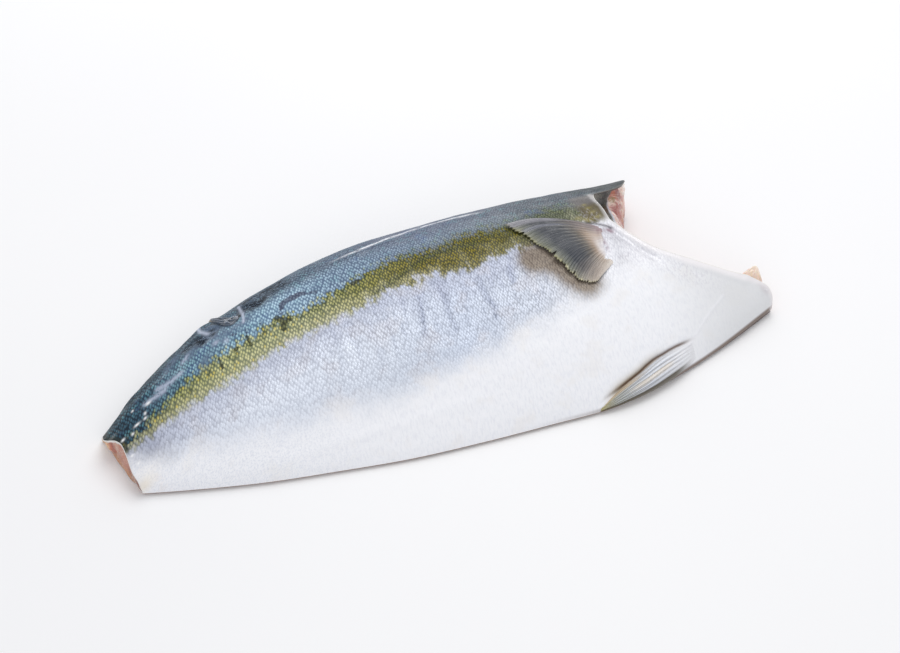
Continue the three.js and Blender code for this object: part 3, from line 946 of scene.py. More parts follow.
skin_masks = {
    "past_stripe_top": past_line(STRIPE_TOP),
    "past_stripe_low": past_line(STRIPE_LOW),
    "past_scales": past_line(SCALES_END),
    "share": skin_a,
    "tail_off": skin_x - pair_curve(TAIL_CUT, skin_a),
    "collar_off": collar_off,
    "bare_rim": bare_rim,
    # A painted highlight: a white line along the ridge of the back.
    "painted_highlight_line": near_line(1.25, *WET_RIDGE) * smooth(-75, -45, skin_x) * smooth(46, 30, skin_x),
    "dark_back_band": near_line(2.4, *[(x, a - 0.035) for x, a in WET_RIDGE]) * smooth(-60, -30, skin_x),
    "stripe_seam": near_line(2.4,
        (-50, 0.41), (-44.4, 0.4), (-34.7, 0.377), (-18.4, 0.339), (-10, 0.32), (1, 0.313), (25, 0.321)),
    # A bruise above the stripe with its black foot, and small dark marks beside them.
    "bruise": near_line(2.4, (-112.5, 0.315), (-111.5, 0.285), (-109.5, 0.266))
    + near_line(2.6, (-103, 0.262), (-96, 0.268), (-87, 0.296))
    + skin_spots(
        (-137.5, 0.31, 3, 3), (-146, 0.286, 3.5, 3), (-128, 0.31, 1.5, 1.5), (-100, 0.262, 5, 3.5),
        (-108.5, 0.268, 4.5, 3.5)),
    "black_foot": near_line(2.2, (-117, 0.325), (-113, 0.36), (-114.3, 0.4))
    + near_line(1.6, (-113, 0.36), (-108, 0.372))
    + 0.7 * near_line(1.6, (-139, 0.335), (-137.5, 0.397))
    + 0.7 * near_line(1.6, (-160, 0.375), (-159.5, 0.44))
    + skin_spots((-60, 0.33, 5, 2.5), (-148, 0.375, 2.5, 2)),
    # The dark wrinkled band that led to the dorsal fin, and dark patches behind it.
    "dark_fold": near_line(4.6, (-136, 0.135), (-131.6, 0.143), (-124, 0.158), (-114, 0.15), (-104, 0.14))
    + near_line(3.6, (-136, 0.09), (-120, 0.1), (-106, 0.1))
    + skin_spots(
        (-126, 0.185, 7, 3.5), (-168.6, 0.162, 5, 4.5), (-166.7, 0.204, 4, 3.5), (-158.5, 0.158, 3, 2),
        (-158.5, 0.195, 3.5, 2), (-178.3, 0.16, 4, 4)),
    "fold_shadow": near_line(1.1,
        (-157, 0.1), (-154.8, 0.122), (-150, 0.178), (-147, 0.204), (-142, 0.204), (-138.5, 0.185))
    + skin_spots((-138.8, 0.165, 1.6, 3.5)),
    # Bare lilac skin around the stub, painted highlights on two pale welts beside it, and smears of mucus.
    "rubbed": near_line(4.2,
        (-178, 0.232), (-172, 0.204), (-164.8, 0.191), (-157, 0.215), (-149, 0.252), (-140, 0.247),
        (-135, 0.236))
    + skin_spots(
        (-144, 0.15, 6, 3), (-156.5, 0.15, 8, 7), (-190, 0.175, 11, 5, -38), (-199, 0.33, 10, 4, -20),
        (-168, 0.33, 5, 6, 20), (-158.8, 0.267, 4, 3)),
    "hook_highlights": near_line(0.9,
        (-136.9, 0.095), (-136.9, 0.143), (-136.3, 0.18), (-136.9, 0.219), (-137.8, 0.244))
    + near_line(1.2, (-165.5, 0.05), (-165.7, 0.083), (-165.4, 0.12), (-161.7, 0.165)),
    "smears": near_line(2.2, (-203, 0.29), (-194, 0.32), (-186, 0.31))
    + near_line(2.0, (-213, 0.32), (-205, 0.34), (-199, 0.345))
    + skin_spots((-158.8, 0.267, 2.5, 1.6), (-152.3, 0.295, 2, 2.6), (-181, 0.229, 4, 1.6, -30)),
    # Blood under the skin at the pectoral fin and throat, beige at the fin's root, the fin's painted shadow.
    "blush": skin_spots(
        (115.2, 0.41, 3, 2.2), (118, 0.415, 2.5, 2), (109.5, 0.47, 1.2, 6), (213, 0.9, 5, 7),
        (203, 0.83, 4, 2, 50)),
    "beige": near_line(12.0, (64, 0.45), (69, 0.475), (75, 0.51), (80, 0.56), (87, 0.6))
    + 0.5 * skin_spots((54, 0.46, 9, 13), (104, 0.46, 3, 9)),
    # Dark upright streaks under the stripe.
    "flank_streak": near_line(2.4, (-8.3, 0.44), (-8.6, 0.55), (-8, 0.65))
    + near_line(2.4, (17.1, 0.48), (18.3, 0.574), (21.8, 0.598), (19.9, 0.646))
    + near_line(2.6, (-23.4, 0.464), (-25.6, 0.545), (-28.7, 0.632))
    + near_line(1.8, (40.3, 0.463), (39, 0.53)),
    "throat_mark": near_line(0.7, *THROAT_RIDGE) + near_line(0.6, (162, 0.706), (167, 0.737)),
    # Painted shadow along the pectoral fin's upper edge, under the skin's ridge.
    "fin_edge_shadow": near_line(1.0,
        (92, 0.335), (104, 0.345), (109.6, 0.36), (112.7, 0.372), (116.5, 0.388), (119, 0.403)),
    "bare_nape": smooth(20, 13, collar_off) * smooth(0.165, 0.195, skin_a) * smooth(0.37, 0.335, skin_a),
    "gold": skin_spots(
        (109.6, 0.245, 1.6, 1.2), (110.8, 0.27, 2.2, 1.3), (112.1, 0.296, 2.4, 1.4),
        (113.6, 0.327, 2.8, 1.5), (104.9, 0.328, 2.6, 1.8), (107.7, 0.338, 2.2, 1.8),
        (100.5, 0.311, 2.4, 1.6)),
    # A painted shadow line along the gap above the pelvic fin, and a brown-yellow stain with painted shade
    # around it.
    "pelvic_shadow_line": near_line(1.1, *PELVIC_GROOVE) * smooth(150, 136, skin_x) * smooth(78, 92, skin_x),
    "pelvic_stain_and_shade": near_line(3.6, *PELVIC_GROOVE) * smooth(132, 104, skin_x) * smooth(72, 88, skin_x),
    "tail_stain": smooth(-205, -232, skin_x) * smooth(22, 50, skin_s),
    "cream_corner": skin_spots((-226, 0.97, 8, 5)),
    # Painted highlights near the tail: white spots for drops of water that catch the light.
    "glints": skin_spots(
        (-232.2, 0.506, 1.3, 0.9), (-225.3, 0.515, 0.9, 0.9), (-221.3, 0.456, 2.0, 0.9),
        (-215.3, 0.452, 1.1, 0.9), (-214.6, 0.408, 0.8, 1.2), (-211.2, 0.339, 1.7, 1.1),
        (-229.1, 0.714, 1.0, 0.7), (-226.2, 0.8, 0.9, 0.7), (-222, 0.28, 0.8, 0.8)),
}
skin_facts = {name: [at_edge(values)] for name, values in skin_masks.items()}
skin_facts["cut_edge"] = [edge_mask]
skin_facts["scale_place"] = [scale_place]
skin_facts["flat_mm"] = [np.stack([at_edge(skin_x), at_edge(skin_s), at_edge(0 * skin_s)], axis=-1)]

# Scales: rounded cells about the places of the rows, taller than long, each a little different.
scale_cells, cells_in = node_group(
    "scale_cells",
    [("Place", "Vector", (0, 0, 0)), ("Disorder", "Float", 0.6)],
    [("Middle", "Float"), ("Wide", "Float"), ("Chance", "Float"), ("Second Chance", "Float")],
)
cell = given(node(scale_cells, "TexVoronoi", {
    "Vector": cells_in["Place"], "Scale": 1.0, "Randomness": cells_in["Disorder"],
}, voronoi_dimensions="2D", feature="F1"))
lots = given(node(scale_cells, "SeparateColor", {"Color": cell["Color"]}))
hand_out(
    scale_cells, Middle=step(cell["Distance"], 0.58, 0.1), Wide=step(cell["Distance"], 0.72, 0.3),
    Chance=lots["Red"], Second_Chance=lots["Green"])


def along_fish(along, *stops):
    """Colours along the fish, as stops of X in millimetres and red, green, blue."""
    return ramp(along, *[((x - FLANK_TAIL) / FLANK_LENGTH, *colour) for x, *colour in stops])


def over_tones(tones, mask, *others):
    """The two tones of a zone, of its gaps and scales, with a (strength, red, green, blue) over each."""
    return [over(tone, mask, strength, paint(*colour)) for tone, (strength, *colour) in zip(tones, others)]


def skin_material():
    """Wet skin: scale cells in each zone's two tones, then smears, marks, blood, wear, painted highlights and
    shadows.
    """
    material, tree, shader = new_material("wet_skin")
    place = fact(tree, "flat_mm", vector=True)
    share = fact(tree, "share")
    x, _, _ = parts(place)
    along = (x - FLANK_TAIL) / FLANK_LENGTH
    cells = group(scale_cells, Place=fact(tree, "scale_place", vector=True), Disorder=0.5)
    middle, chance = cells["Middle"], cells["Chance"]
    broad = noise(place, 0.045, 3.0, 0.55)
    patchy = noise(place, 0.16, 3.0, 0.6)
    strokes = noise(place, (0.75, 0.2, 1.0), 3.0, 0.6)

    # Where the stripe, the silver and the white begin, ragged from scale to scale.
    ragged = chance * 8.0 - 4
    tongues = noise(place, (0.11, 0.06, 0.1), 2.0) - 0.5
    top = fact(tree, "past_stripe_top") + ragged + patchy * 12.0 - 6
    low = fact(tree, "past_stripe_low") + ragged * 0.6 + tongues * (step(along, 0.3, 0.5) * 24.0 + 6.0)
    bare = fact(tree, "past_scales") + broad * 24.0 - 12 + step(along, 0.42, 0.2) * 9.0
    in_stripe = step(top * (1 - 0.65 * step(along, 0.36, 0.5)), -2.6, 2.6)
    in_silver = step(low, -3.6, 4.0)
    in_white = step(bare, -14.0, 12.0)

    # The back: navy between turquoise scales near the tail, paler and greyer towards the head.
    back_gap = along_fish(
        along, (-246, 14, 28, 38), (-215, 20, 40, 56), (-180, 62, 88, 110), (-140, 88, 116, 142),
        (-110, 106, 132, 158), (-80, 90, 110, 136), (-20, 92, 106, 128), (50, 106, 116, 126),
        (75, 84, 90, 92), (110, 90, 96, 98))
    back_scale = along_fish(
        along, (-246, 46, 78, 92), (-215, 68, 108, 128), (-180, 146, 188, 200), (-140, 174, 210, 224),
        (-110, 194, 224, 240), (-80, 172, 200, 218), (-20, 152, 172, 190), (50, 146, 156, 164),
        (75, 118, 126, 126), (110, 124, 130, 132))
    slate_gap = along_fish(
        along, (-240, 28, 42, 52), (-180, 26, 42, 56), (-90, 48, 64, 82), (0, 84, 92, 112),
        (70, 76, 82, 92))
    slate_scale = along_fish(
        along, (-240, 70, 92, 104), (-180, 66, 86, 102), (-90, 94, 112, 132), (0, 116, 126, 146),
        (70, 114, 122, 132))
    slate = step(share, 0.25, 0.16)
    back_gap = over(back_gap, slate, 0.9, slate_gap)
    back_gap = over(back_gap, step(broad, 0.42, 0.34), 0.4, paint(66, 92, 140))
    back_scale = over(back_scale, slate, 0.9, slate_scale)
    back_scale = over(back_scale, step(patchy, 0.5, 0.62), 0.35, paint(120, 176, 182))

    # The stripe: yellow scales and dark olive gaps, darkest along its top, with a pale lower part.
    stripe_gap = along_fish(
        along, (-246, 30, 40, 34), (-220, 44, 54, 44), (-195, 92, 100, 72), (-150, 120, 128, 100),
        (-100, 108, 116, 92), (-60, 80, 84, 46), (-20, 56, 56, 12), (20, 50, 50, 8), (50, 60, 60, 24),
        (75, 66, 72, 54), (115, 88, 90, 72))
    stripe_scale = along_fish(
        along, (-246, 84, 98, 66), (-220, 116, 122, 72), (-195, 180, 180, 108), (-150, 214, 212, 152),
        (-100, 202, 202, 150), (-60, 166, 162, 92), (-20, 140, 128, 40), (20, 132, 120, 34),
        (50, 118, 112, 50), (75, 104, 112, 90), (115, 134, 136, 112))
    dark_top = step(top, 13.0, 3.0) * step(patchy, 0.42, 0.58)
    pale_low = step(low, -14.0, -2.0) * (step(along, 0.55, 0.42) * 0.55 + 0.45)
    gold_dots = step(cells["Second Chance"], 0.84, 0.9) * step(along, 0.4, 0.25)
    olive = step(along, 0.45, 0.55) * step(patchy, 0.5, 0.6) * step(along, 0.7, 0.64)
    stripe = over_tones((stripe_gap, stripe_scale), dark_top, (0.75, 48, 58, 30), (0.45, 128, 138, 66))
    stripe_gap, stripe_scale = over_tones(stripe, pale_low, (0.45, 150, 150, 122), (0.5, 206, 202, 166))
    stripe_scale = over(stripe_scale, gold_dots, 0.6, paint(214, 190, 74))
    stripe_scale = over(stripe_scale, olive, 0.6, paint(140, 126, 16))
    stripe = over_tones(
        (stripe_gap, stripe_scale), fact(tree, "stripe_seam"), (0.7, 34, 40, 22), (0.6, 96, 106, 58))

    # The flank: silver, blue-white and lilac, in upright streaks forward of the middle.
    silver_gap = along_fish(
        along, (-246, 88, 90, 102), (-222, 112, 116, 127), (-200, 178, 182, 193), (-150, 198, 203, 215),
        (-60, 190, 196, 208), (0, 176, 184, 200), (45, 172, 178, 190), (90, 198, 201, 209),
        (130, 222, 222, 228))
    silver_scale = along_fish(
        along, (-246, 136, 142, 154), (-222, 158, 163, 175), (-200, 212, 218, 231), (-150, 226, 232, 243),
        (-60, 215, 222, 234), (0, 206, 215, 231), (45, 206, 213, 226), (90, 222, 224, 231),
        (130, 238, 238, 242))
    streaks = noise(place, (0.17, 0.028, 0.1), 4.0, 0.6)
    streaky = step(low, 56.0, 24.0) * step(along, 0.25, 0.45) * step(along, 0.74, 0.66)
    streaky = fact(tree, "flank_streak") * 0.85 + step(streaks, 0.47, 0.6) * streaky * 0.55
    lilac = step(low, 30.0, 2.0) * step(along, 0.72, 0.62)
    silver = over_tones((silver_gap, silver_scale), streaky, (0.8, 130, 138, 156), (0.7, 174, 182, 202))
    silver = over_tones(silver, lilac, (0.65, 142, 147, 167), (0.65, 176, 182, 202))
    silver = over_tones(silver, step(broad, 0.5, 0.62), (0.5, 166, 164, 172), (0.35, 204, 204, 212))
    white = ramp(strokes, (0.35, 238, 239, 244), (0.5, 245, 246, 249), (0.65, 248, 248, 251))
    white = over(white, step(broad, 0.52, 0.66), 0.3, paint(238, 234, 230))
    white = over(white, step(along, 0.78, 0.93), 0.75, paint(220, 221, 222))
    speckle = step(noise(place, 0.85, 2.0), 0.48, 0.62) * step(along, 0.42, 0.2)
    white = over(white, speckle, 0.45, paint(216, 221, 232))
    white = over(white, fact(tree, "throat_mark"), 0.6, paint(240, 240, 244))

    gap = mixed(in_silver, mixed(in_stripe, back_gap, stripe[0]), silver[0])
    scale = mixed(in_silver, mixed(in_stripe, back_scale, stripe[1]), silver[1])
    lit = mixed(in_silver, middle, cells["Wide"], "FLOAT") * (chance * 0.7 + 0.6)
    lit = clipped(lit + (strokes * 0.9 - 0.45))
    colour = mixed(in_white, mixed(lit, gap, scale), white)

    # What lies over the scales.
    rubbed = fact(tree, "rubbed") * step(patchy, 0.3, 0.46)
    lilac_skin = mixed(strokes, paint(62, 80, 102), paint(112, 130, 156))
    colour = over(colour, rubbed, 0.8, lilac_skin)
    dark_fold = fact(tree, "dark_fold")
    wrinkles = noise(place, (0.35, 0.9, 1.0), 4.0, 0.65, distortion=1.2, turn=-25.0)
    wrinkle_colour = ramp(
        wrinkles, (0.38, 10, 18, 26), (0.52, 20, 32, 44), (0.57, 48, 62, 78), (0.62, 140, 158, 178))
    colour = over(colour, dark_fold, 0.95, wrinkle_colour)
    worn = noise(place, 0.4, 3.0, 0.65)
    bruise = step(fact(tree, "bruise") + worn * 2.6, 1.9, 2.4)
    colour = over(colour, bruise, 0.85, mixed(middle, paint(58, 62, 84), paint(92, 98, 120)))
    black_foot = step(fact(tree, "black_foot") + patchy * 0.6, 0.65, 0.95)
    colour = over(colour, black_foot, 0.8, mixed(middle, paint(34, 36, 22), paint(72, 76, 42)))
    colour = over(colour, fact(tree, "fold_shadow"), 0.9, paint(28, 33, 36))
    # Painted highlights on the two pale welts beside the stub.
    colour = over(colour, fact(tree, "hook_highlights"), 0.9, paint(190, 198, 216))
    smears = fact(tree, "smears") * step(noise(place, 0.5, 3.0), 0.3, 0.5)
    colour = over(colour, smears, 0.7, paint(192, 200, 220))
    tail_rind = step(fact(tree, "tail_off") - patchy * 4.0, 3.0, 0.0) * step(share, 0.7, 0.62)
    colour = over(colour, tail_rind, 0.8, paint(38, 42, 36))

    # A darker band along the back, just above the line of the painted highlight.
    colour = over(colour, fact(tree, "dark_back_band"), 0.8, paint(98, 102, 120))
    # Painted highlight: a white line along the back's ridge, broken in places.
    breaks = noise(place, (0.13, 0.5, 1.0), 4.0, 0.7)
    painted_highlight_line = fact(tree, "painted_highlight_line") * step(breaks, 0.38, 0.52)
    colour = over(colour, painted_highlight_line, 0.95, paint(244, 245, 250))
    bare_nape = mixed(
        step(share, 0.23, 0.27),
        mixed(strokes, paint(96, 93, 92), paint(122, 117, 115)),
        mixed(strokes, paint(80, 71, 48), paint(110, 99, 70)))
    colour = over(colour, fact(tree, "bare_nape"), 0.9, bare_nape)
    colour = over(colour, fact(tree, "gold"), 0.6, mixed(patchy, paint(140, 128, 62), paint(174, 164, 104)))
    # Painted brown shadow of the pectoral fin on the flank below and behind it, and beige skin at its root.
    beige = step(fact(tree, "beige") + strokes * 0.4, 0.25, 1.1)
    colour = over(colour, beige, 0.9, mixed(lit, paint(94, 77, 57), paint(126, 110, 90)))
    nape_strip = step(share, 0.2, 0.13) * step(along + patchy * 0.2, 0.8, 0.92)
    colour = over(colour, nape_strip, 0.8, paint(52, 58, 56))
    blush = fact(tree, "blush") * step(noise(place, 0.3, 3.0), 0.3, 0.5)
    colour = over(colour, blush, 0.65, paint(150, 118, 132))
    # Brown-yellow stain and painted shade above the pelvic fin, then a painted dark shadow line along its
    # upper edge.
    colour = over(colour, fact(tree, "pelvic_stain_and_shade"), 0.75, paint(160, 143, 108))
    colour = over(colour, fact(tree, "pelvic_shadow_line"), 0.95, paint(92, 64, 42))
    stain = fact(tree, "tail_stain") * step(patchy, 0.47, 0.6)
    colour = over(colour, stain, 0.35, paint(226, 206, 188))
    colour = over(colour, fact(tree, "cream_corner"), 0.7, paint(240, 232, 218))

    # A brown line along the belly's edge towards the head: brown flesh and painted shade under the edge.
    belly_shade_line = step(share, 0.991, 0.998) * step(along, 0.55, 0.8)
    colour = over(colour, belly_shade_line, 0.85, paint(104, 80, 62))

    # The collar's rolled rim is bare and pinkish white, with a mottled silver band behind it.
    rim_colour = mixed(broad, paint(244, 242, 243), paint(236, 231, 233))
    colour = over(colour, fact(tree, "bare_rim"), 0.9, rim_colour)
    rim_top = fact(tree, "bare_rim") * step(share, 0.37, 0.3)
    colour = over(colour, rim_top, 0.8, paint(150, 150, 146))
    collar_off = fact(tree, "collar_off")
    flecks = noise(place, (0.7, 0.35, 0.5), 3.0, 0.65, turn=-40.0)
    band = step(collar_off, 26.0, 12.0) * step(collar_off, 4.0, 7.0) * step(flecks, 0.46, 0.62)
    band = band * step(in_stripe, 0.5, 0.9) * step(along, 0.94, 0.86)
    colour = over(colour, band, 0.35, paint(196, 194, 204))
    # Painted shadow: a dark line along the pectoral fin's upper edge.
    colour = over(colour, fact(tree, "fin_edge_shadow"), 0.85, paint(70, 66, 74))
    # Painted highlights: the glints are pure white colour.
    colour = over(colour, fact(tree, "glints"), 1.0, paint(255, 255, 255))
    edge_colour = mixed(broad, paint(238, 238, 236), paint(226, 222, 214))
    # Painted shadow: the skin's cut edge darkened at the nape.
    nape_edge_shadow = step(share, 0.2, 0.17) * step(along, 0.6, 0.7)
    edge_colour = over(edge_colour, nape_edge_shadow, 0.85, paint(84, 84, 80))
    # The belly's cut edge turns brown towards the throat: brown flesh and painted shade under the edge.
    belly_edge = step(share, 0.985, 0.998) * step(along, 0.3, 0.45)
    edge_brown_shade = mixed(step(along, 0.72, 0.82), paint(160, 148, 126), paint(104, 78, 60))
    edge_colour = over(edge_colour, belly_edge, 0.85, edge_brown_shade)
    colour = mixed(step(fact(tree, "cut_edge"), 0.0, 0.4), colour, edge_colour)

    # Gloss: silvery scales, wet film, and relief from the rims of the scales.
    film = group(wet_film, Place=place, Driest=0.42, Wettest=0.27)
    scale_relief = middle * clipped(1.0 - in_white)
    height = film["Height"] * 0.35 + scale_relief * 0.7
    height = height + noise(place, 0.3, 3.0) * 1.2 + wrinkles * dark_fold * 2.0
    # The painted highlight line and the painted glints also get a smoother film.
    wet = clipped(painted_highlight_line + fact(tree, "glints"))
    dull = calc("MAXIMUM", dark_fold, slate * 0.7)
    bright = clipped(1 - 0.9 * dull)
    film["Roughness"] = (dull * 0.35 + film["Roughness"]) * (1 - 0.6 * wet)
    film["Coat"] *= 0.2 * bright
    wet_look(shader, colour, film, height, 0.45, 0.25, Coat_Roughness=0.14, Specular_IOR_Level=0.18)
    wire(shader, {"Metallic": scale_relief * 0.22 * bright})
    return material


skin = make_piece("skin", [skin_points], skin_facts, [skin_material()])
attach(skin, "root")
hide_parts("fillet")

# The stub of the dorsal fin. The fin was trimmed off close to the back, and what is left of it lies
# folded over towards the side: a pleated, leathery strip of dark skin with a torn, yellowish tip.
STUB_FOLD = [
    (-158, 0.05, 0.2), (-153.5, 0.095, 1.2), (-149, 0.15, 1.5), (-144.5, 0.18, 1.2), (-139, 0.185, 0.2),
]
STUB_WIDTH = [(0, 0.8), (0.15, 5), (0.45, 9), (0.8, 6), (1, 1.2)]
STUB_HALF = 0.9
STUB_PLEATS = 3
STUB_STEPS = (96, 48)


def even_grid(steps):
    """Shares along and across a sheet, in even steps."""
    return np.meshgrid(*[np.linspace(0, 1, count + 1) for count in steps], indexing="ij")


def curved(places, t):
    """Smooth curve through places of (X, share, lift)."""
    return np.stack([even_curve(column, t) for column in np.array(places, float).T], axis=-1)


def sheet_skin(places, half, crown):
    """Closed grid around a sheet of [X, share, lift] places: its outer face, then its inner face back."""
    x, a, lift = np.moveaxis(places, -1, 0)
    outer = body(x, a, lift + half + crown)
    inner = body(x, a, lift - half)
    return np.concatenate([outer, inner[:, ::-1]], axis=1)


def both_faces(across, along):
    """Place on a fin as (share across its rays, share along them, side), for both faces of its grid."""
    outer = np.stack([across, along, 0 * across + 1], axis=-1)
    inner = np.stack([across, along, 0 * across], axis=-1)
    return np.concatenate([outer, inner[:, ::-1]], axis=1)


def rounded_rim(across, along, sharpness=14):
    """1 inside a sheet, falling to 0 at its sides and ends so that both faces meet."""
    sides = np.clip(1 - np.abs(2 * across - 1) ** sharpness, 0, 1)
    ends = np.clip(1 - np.abs(2 * along - 1) ** (sharpness * 3), 0, 1)
    return np.sqrt(sides * ends)


def fold_material():
    """Dark leathery skin in pleats, painted shade in the hollows between them, yellowish at the tip."""
    material, tree, shader = new_material("dorsal_fold")
    place = fact(tree, "ray_place", vector=True)
    _, along, _ = parts(place)
    grain = noise(place, (14, 4, 1), 4.0, 0.65)
    colour = ramp(grain, (0.3, 30, 40, 52), (0.45, 54, 66, 82), (0.58, 86, 100, 118), (0.72, 142, 154, 172))
    ridge = fact(tree, "crown")
    # Painted shade in the hollows between the pleats.
    colour = over(colour, step(ridge, 0.45, 0.05), 0.75, paint(30, 33, 38))
    colour = over(colour, step(along, 0.16, 0.02), 0.85, paint(158, 126, 66))
    colour = over(colour, step(along, 0.86, 0.97), 0.7, paint(170, 172, 184))
    film = group(wet_film, Place=fact(tree, "place_mm", vector=True), Driest=0.45, Wettest=0.25)
    wet_look(shader, colour, film, grain, 0.5, 0.4, Coat_Roughness=0.15)
    return material


stub_along, stub_across = even_grid(STUB_STEPS)
stub_places = curved(STUB_FOLD, 1 - stub_along)
stub_width = pair_curve(STUB_WIDTH, 1 - stub_along)
back_width = 0.5 * (flat_table[:, -1] - flat_table[:, 0]).mean()
stub_places[..., 1] += (stub_across - 0.5) * stub_width / back_width
pleat_wander = 0.5 * swell(stub_along * 5, stub_across * 2, 31)
pleats = np.abs(np.sin(np.pi * (STUB_PLEATS * stub_across + pleat_wander)))
stub_rim = rounded_rim(stub_across, stub_along, 6)
stub_places[..., 2] += 0.5 * swell(stub_along * 7, stub_across * 3, 32) - 1.6
stub_crown = stub_rim * (0.1 + 0.8 * pleats)
stub_points = sheet_skin(stub_places, STUB_HALF * stub_rim, stub_crown)
dorsal_stub = make_piece("dorsal_stub", [stub_points], {
    "ray_place": [both_faces(stub_across, 1 - stub_along)],
    "crown": [np.concatenate([pleats, pleats[:, ::-1]], axis=1)],
    "place_mm": [stub_points],
}, [fold_material()])
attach(dorsal_stub, "root")
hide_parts("fillet")

# The throat's lobe. A peak of muscle and fat left at the foot of the throat when the head was cut
# off, cream at the tip and pink below, with fine veins.
LOBE_CENTRE = (203.8, -39.1, 11.0)
LOBE_SIZE = (10.4, 6.5, 12.8)
LOBE_TURN = math.radians(-35)
LOBE_LEAN = 6.9
LOBE_SLIMMING = 0.46
LOBE_STEPS = (64, 96)

lobe_polar, lobe_round = np.meshgrid(
    np.linspace(0, np.pi, LOBE_STEPS[0] + 1), np.linspace(0, 2 * np.pi, LOBE_STEPS[1] + 1), indexing="ij")
lobe_unit = np.stack([
    np.sin(lobe_polar) * np.cos(lobe_round), np.sin(lobe_polar) * np.sin(lobe_round), np.cos(lobe_polar),
], axis=-1)
ux, uy, uz = np.moveaxis(lobe_unit, -1, 0)
lobe_bulge = 1 + 0.05 * swell(5 + 1.7 * ux + uz, 5 + 1.7 * uy - uz, 41)
lobe_bulge = lobe_bulge + 0.03 * swell(9 + 5 * ux, 9 + 5 * uy + 4 * uz, 42)
peak = np.clip(uz, 0, 1)
slim = 1 - LOBE_SLIMMING * peak**2
lobe_x = ux * LOBE_SIZE[0] * lobe_bulge * slim
lobe_y = uy * LOBE_SIZE[1] * lobe_bulge * slim
lobe_points = np.stack([
    LOBE_CENTRE[0] + lobe_x * math.cos(LOBE_TURN) - lobe_y * math.sin(LOBE_TURN) + LOBE_LEAN * peak**2,
    LOBE_CENTRE[1] + lobe_x * math.sin(LOBE_TURN) + lobe_y * math.cos(LOBE_TURN) + LOBE_LEAN * peak**2,
    np.maximum(LOBE_CENTRE[2] + uz * LOBE_SIZE[2] * lobe_bulge, 1.0),
], axis=-1)


def lobe_material():
    """Soft fat over muscle, with fine veins and a glossy wet face."""
    material, tree, shader = new_material("throat_lobe")
    place = fact(tree, "place_mm", vector=True)
    _, _, height = parts(place)
    bent = height + noise(place, 0.3, 3.0) * 7.0 - 3.5
    colour = ramp(
        bent / 26.0, (0.1, 196, 160, 156), (0.4, 216, 172, 160), (0.58, 230, 198, 188), (0.76, 236, 210, 188),
        (0.93, 244, 230, 212))
    veins = noise(place, (0.9, 0.9, 0.25), 4.0, 0.6)
    colour = mixed(step(veins, 0.55, 0.68) * 0.25, colour, paint(206, 142, 132))
    film = group(wet_film, Place=place, Driest=0.4, Wettest=0.2)
    wet_look(
        shader, colour, film, veins * 1.5 + film["Height"], 0.35, 0.5,
        Coat_Roughness=0.12, Subsurface_Weight=0.15, Subsurface_Scale=2 * MM)
    return material


throat_lobe = make_piece(
    "throat_lobe", [lobe_points], {"place_mm": [lobe_points]}, [lobe_material()])
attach(throat_lobe, "root")
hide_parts("fillet")

# The pectoral fin. A fan of thin rays that split towards their tips, joined by skin and laid back
# over the flank: slate between the rays, with a beige root and a clear, ragged, yellow margin.
PECTORAL_ROOT = [(117, 0.405, -1.9), (112.5, 0.45, -2.0), (110.5, 0.5, -2.2), (113, 0.546, -2.8)]
PECTORAL_TIP = [
    (48.1, 0.273, 1.6), (55.6, 0.323, 1.9), (63.3, 0.394, 2.4), (68.9, 0.448, 2.6), (74.6, 0.509, 2.6),
    (79, 0.562, 2.4), (84.5, 0.599, 2.1), (92.3, 0.613, 1.7), (99.7, 0.591, 1.4), (106, 0.57, 0.7),
]
PECTORAL_BOW = -0.055
PECTORAL_RAYS = 22
PECTORAL_STEPS = (70, 264)
# Tears in the margin, as (share across, half width, depth).
PECTORAL_TEARS = [
    (0.365, 0.01, 0.09), (0.557, 0.009, 0.07), (0.13, 0.008, 0.03), (0.47, 0.006, 0.03), (0.7, 0.008, 0.04),
]


def rays(across, along, count):
    """Height of a fin's rays, 0 to 1. Each splits in two towards its tip."""
    whole = (0.5 + 0.5 * np.cos(2 * np.pi * count * across)) ** 1.5
    split = (0.5 + 0.5 * np.cos(4 * np.pi * count * across)) ** 1.5
    return whole + (split - whole) * smooth(0.4, 0.8, along)


# Fin rays: bony lines between webs of skin, split and finer towards the margin.
fin_rays, rays_in = node_group(
    "fin_rays",
    [("Place", "Vector", (0, 0, 0)), ("Count", "Float", 20.0)],
    [("Ray", "Float"), ("Streak", "Float"), ("Across", "Float"), ("Along", "Float")],
)
ray_across, ray_along, _ = parts(rays_in["Place"])
ray_lines = []
for turns in (2 * math.pi, 4 * math.pi):
    wave = calc("COSINE", ray_across * rays_in["Count"] * turns) * 0.5 + 0.5
    ray_lines.append(wave ** 1.5)
hand_out(
    fin_rays, Ray=mixed(step(ray_along, 0.4, 0.8), *ray_lines, "FLOAT"),
    Streak=noise(rays_in["Place"], (34, 2.2, 1), 4.0, 0.6),
    Across=ray_across, Along=ray_along)


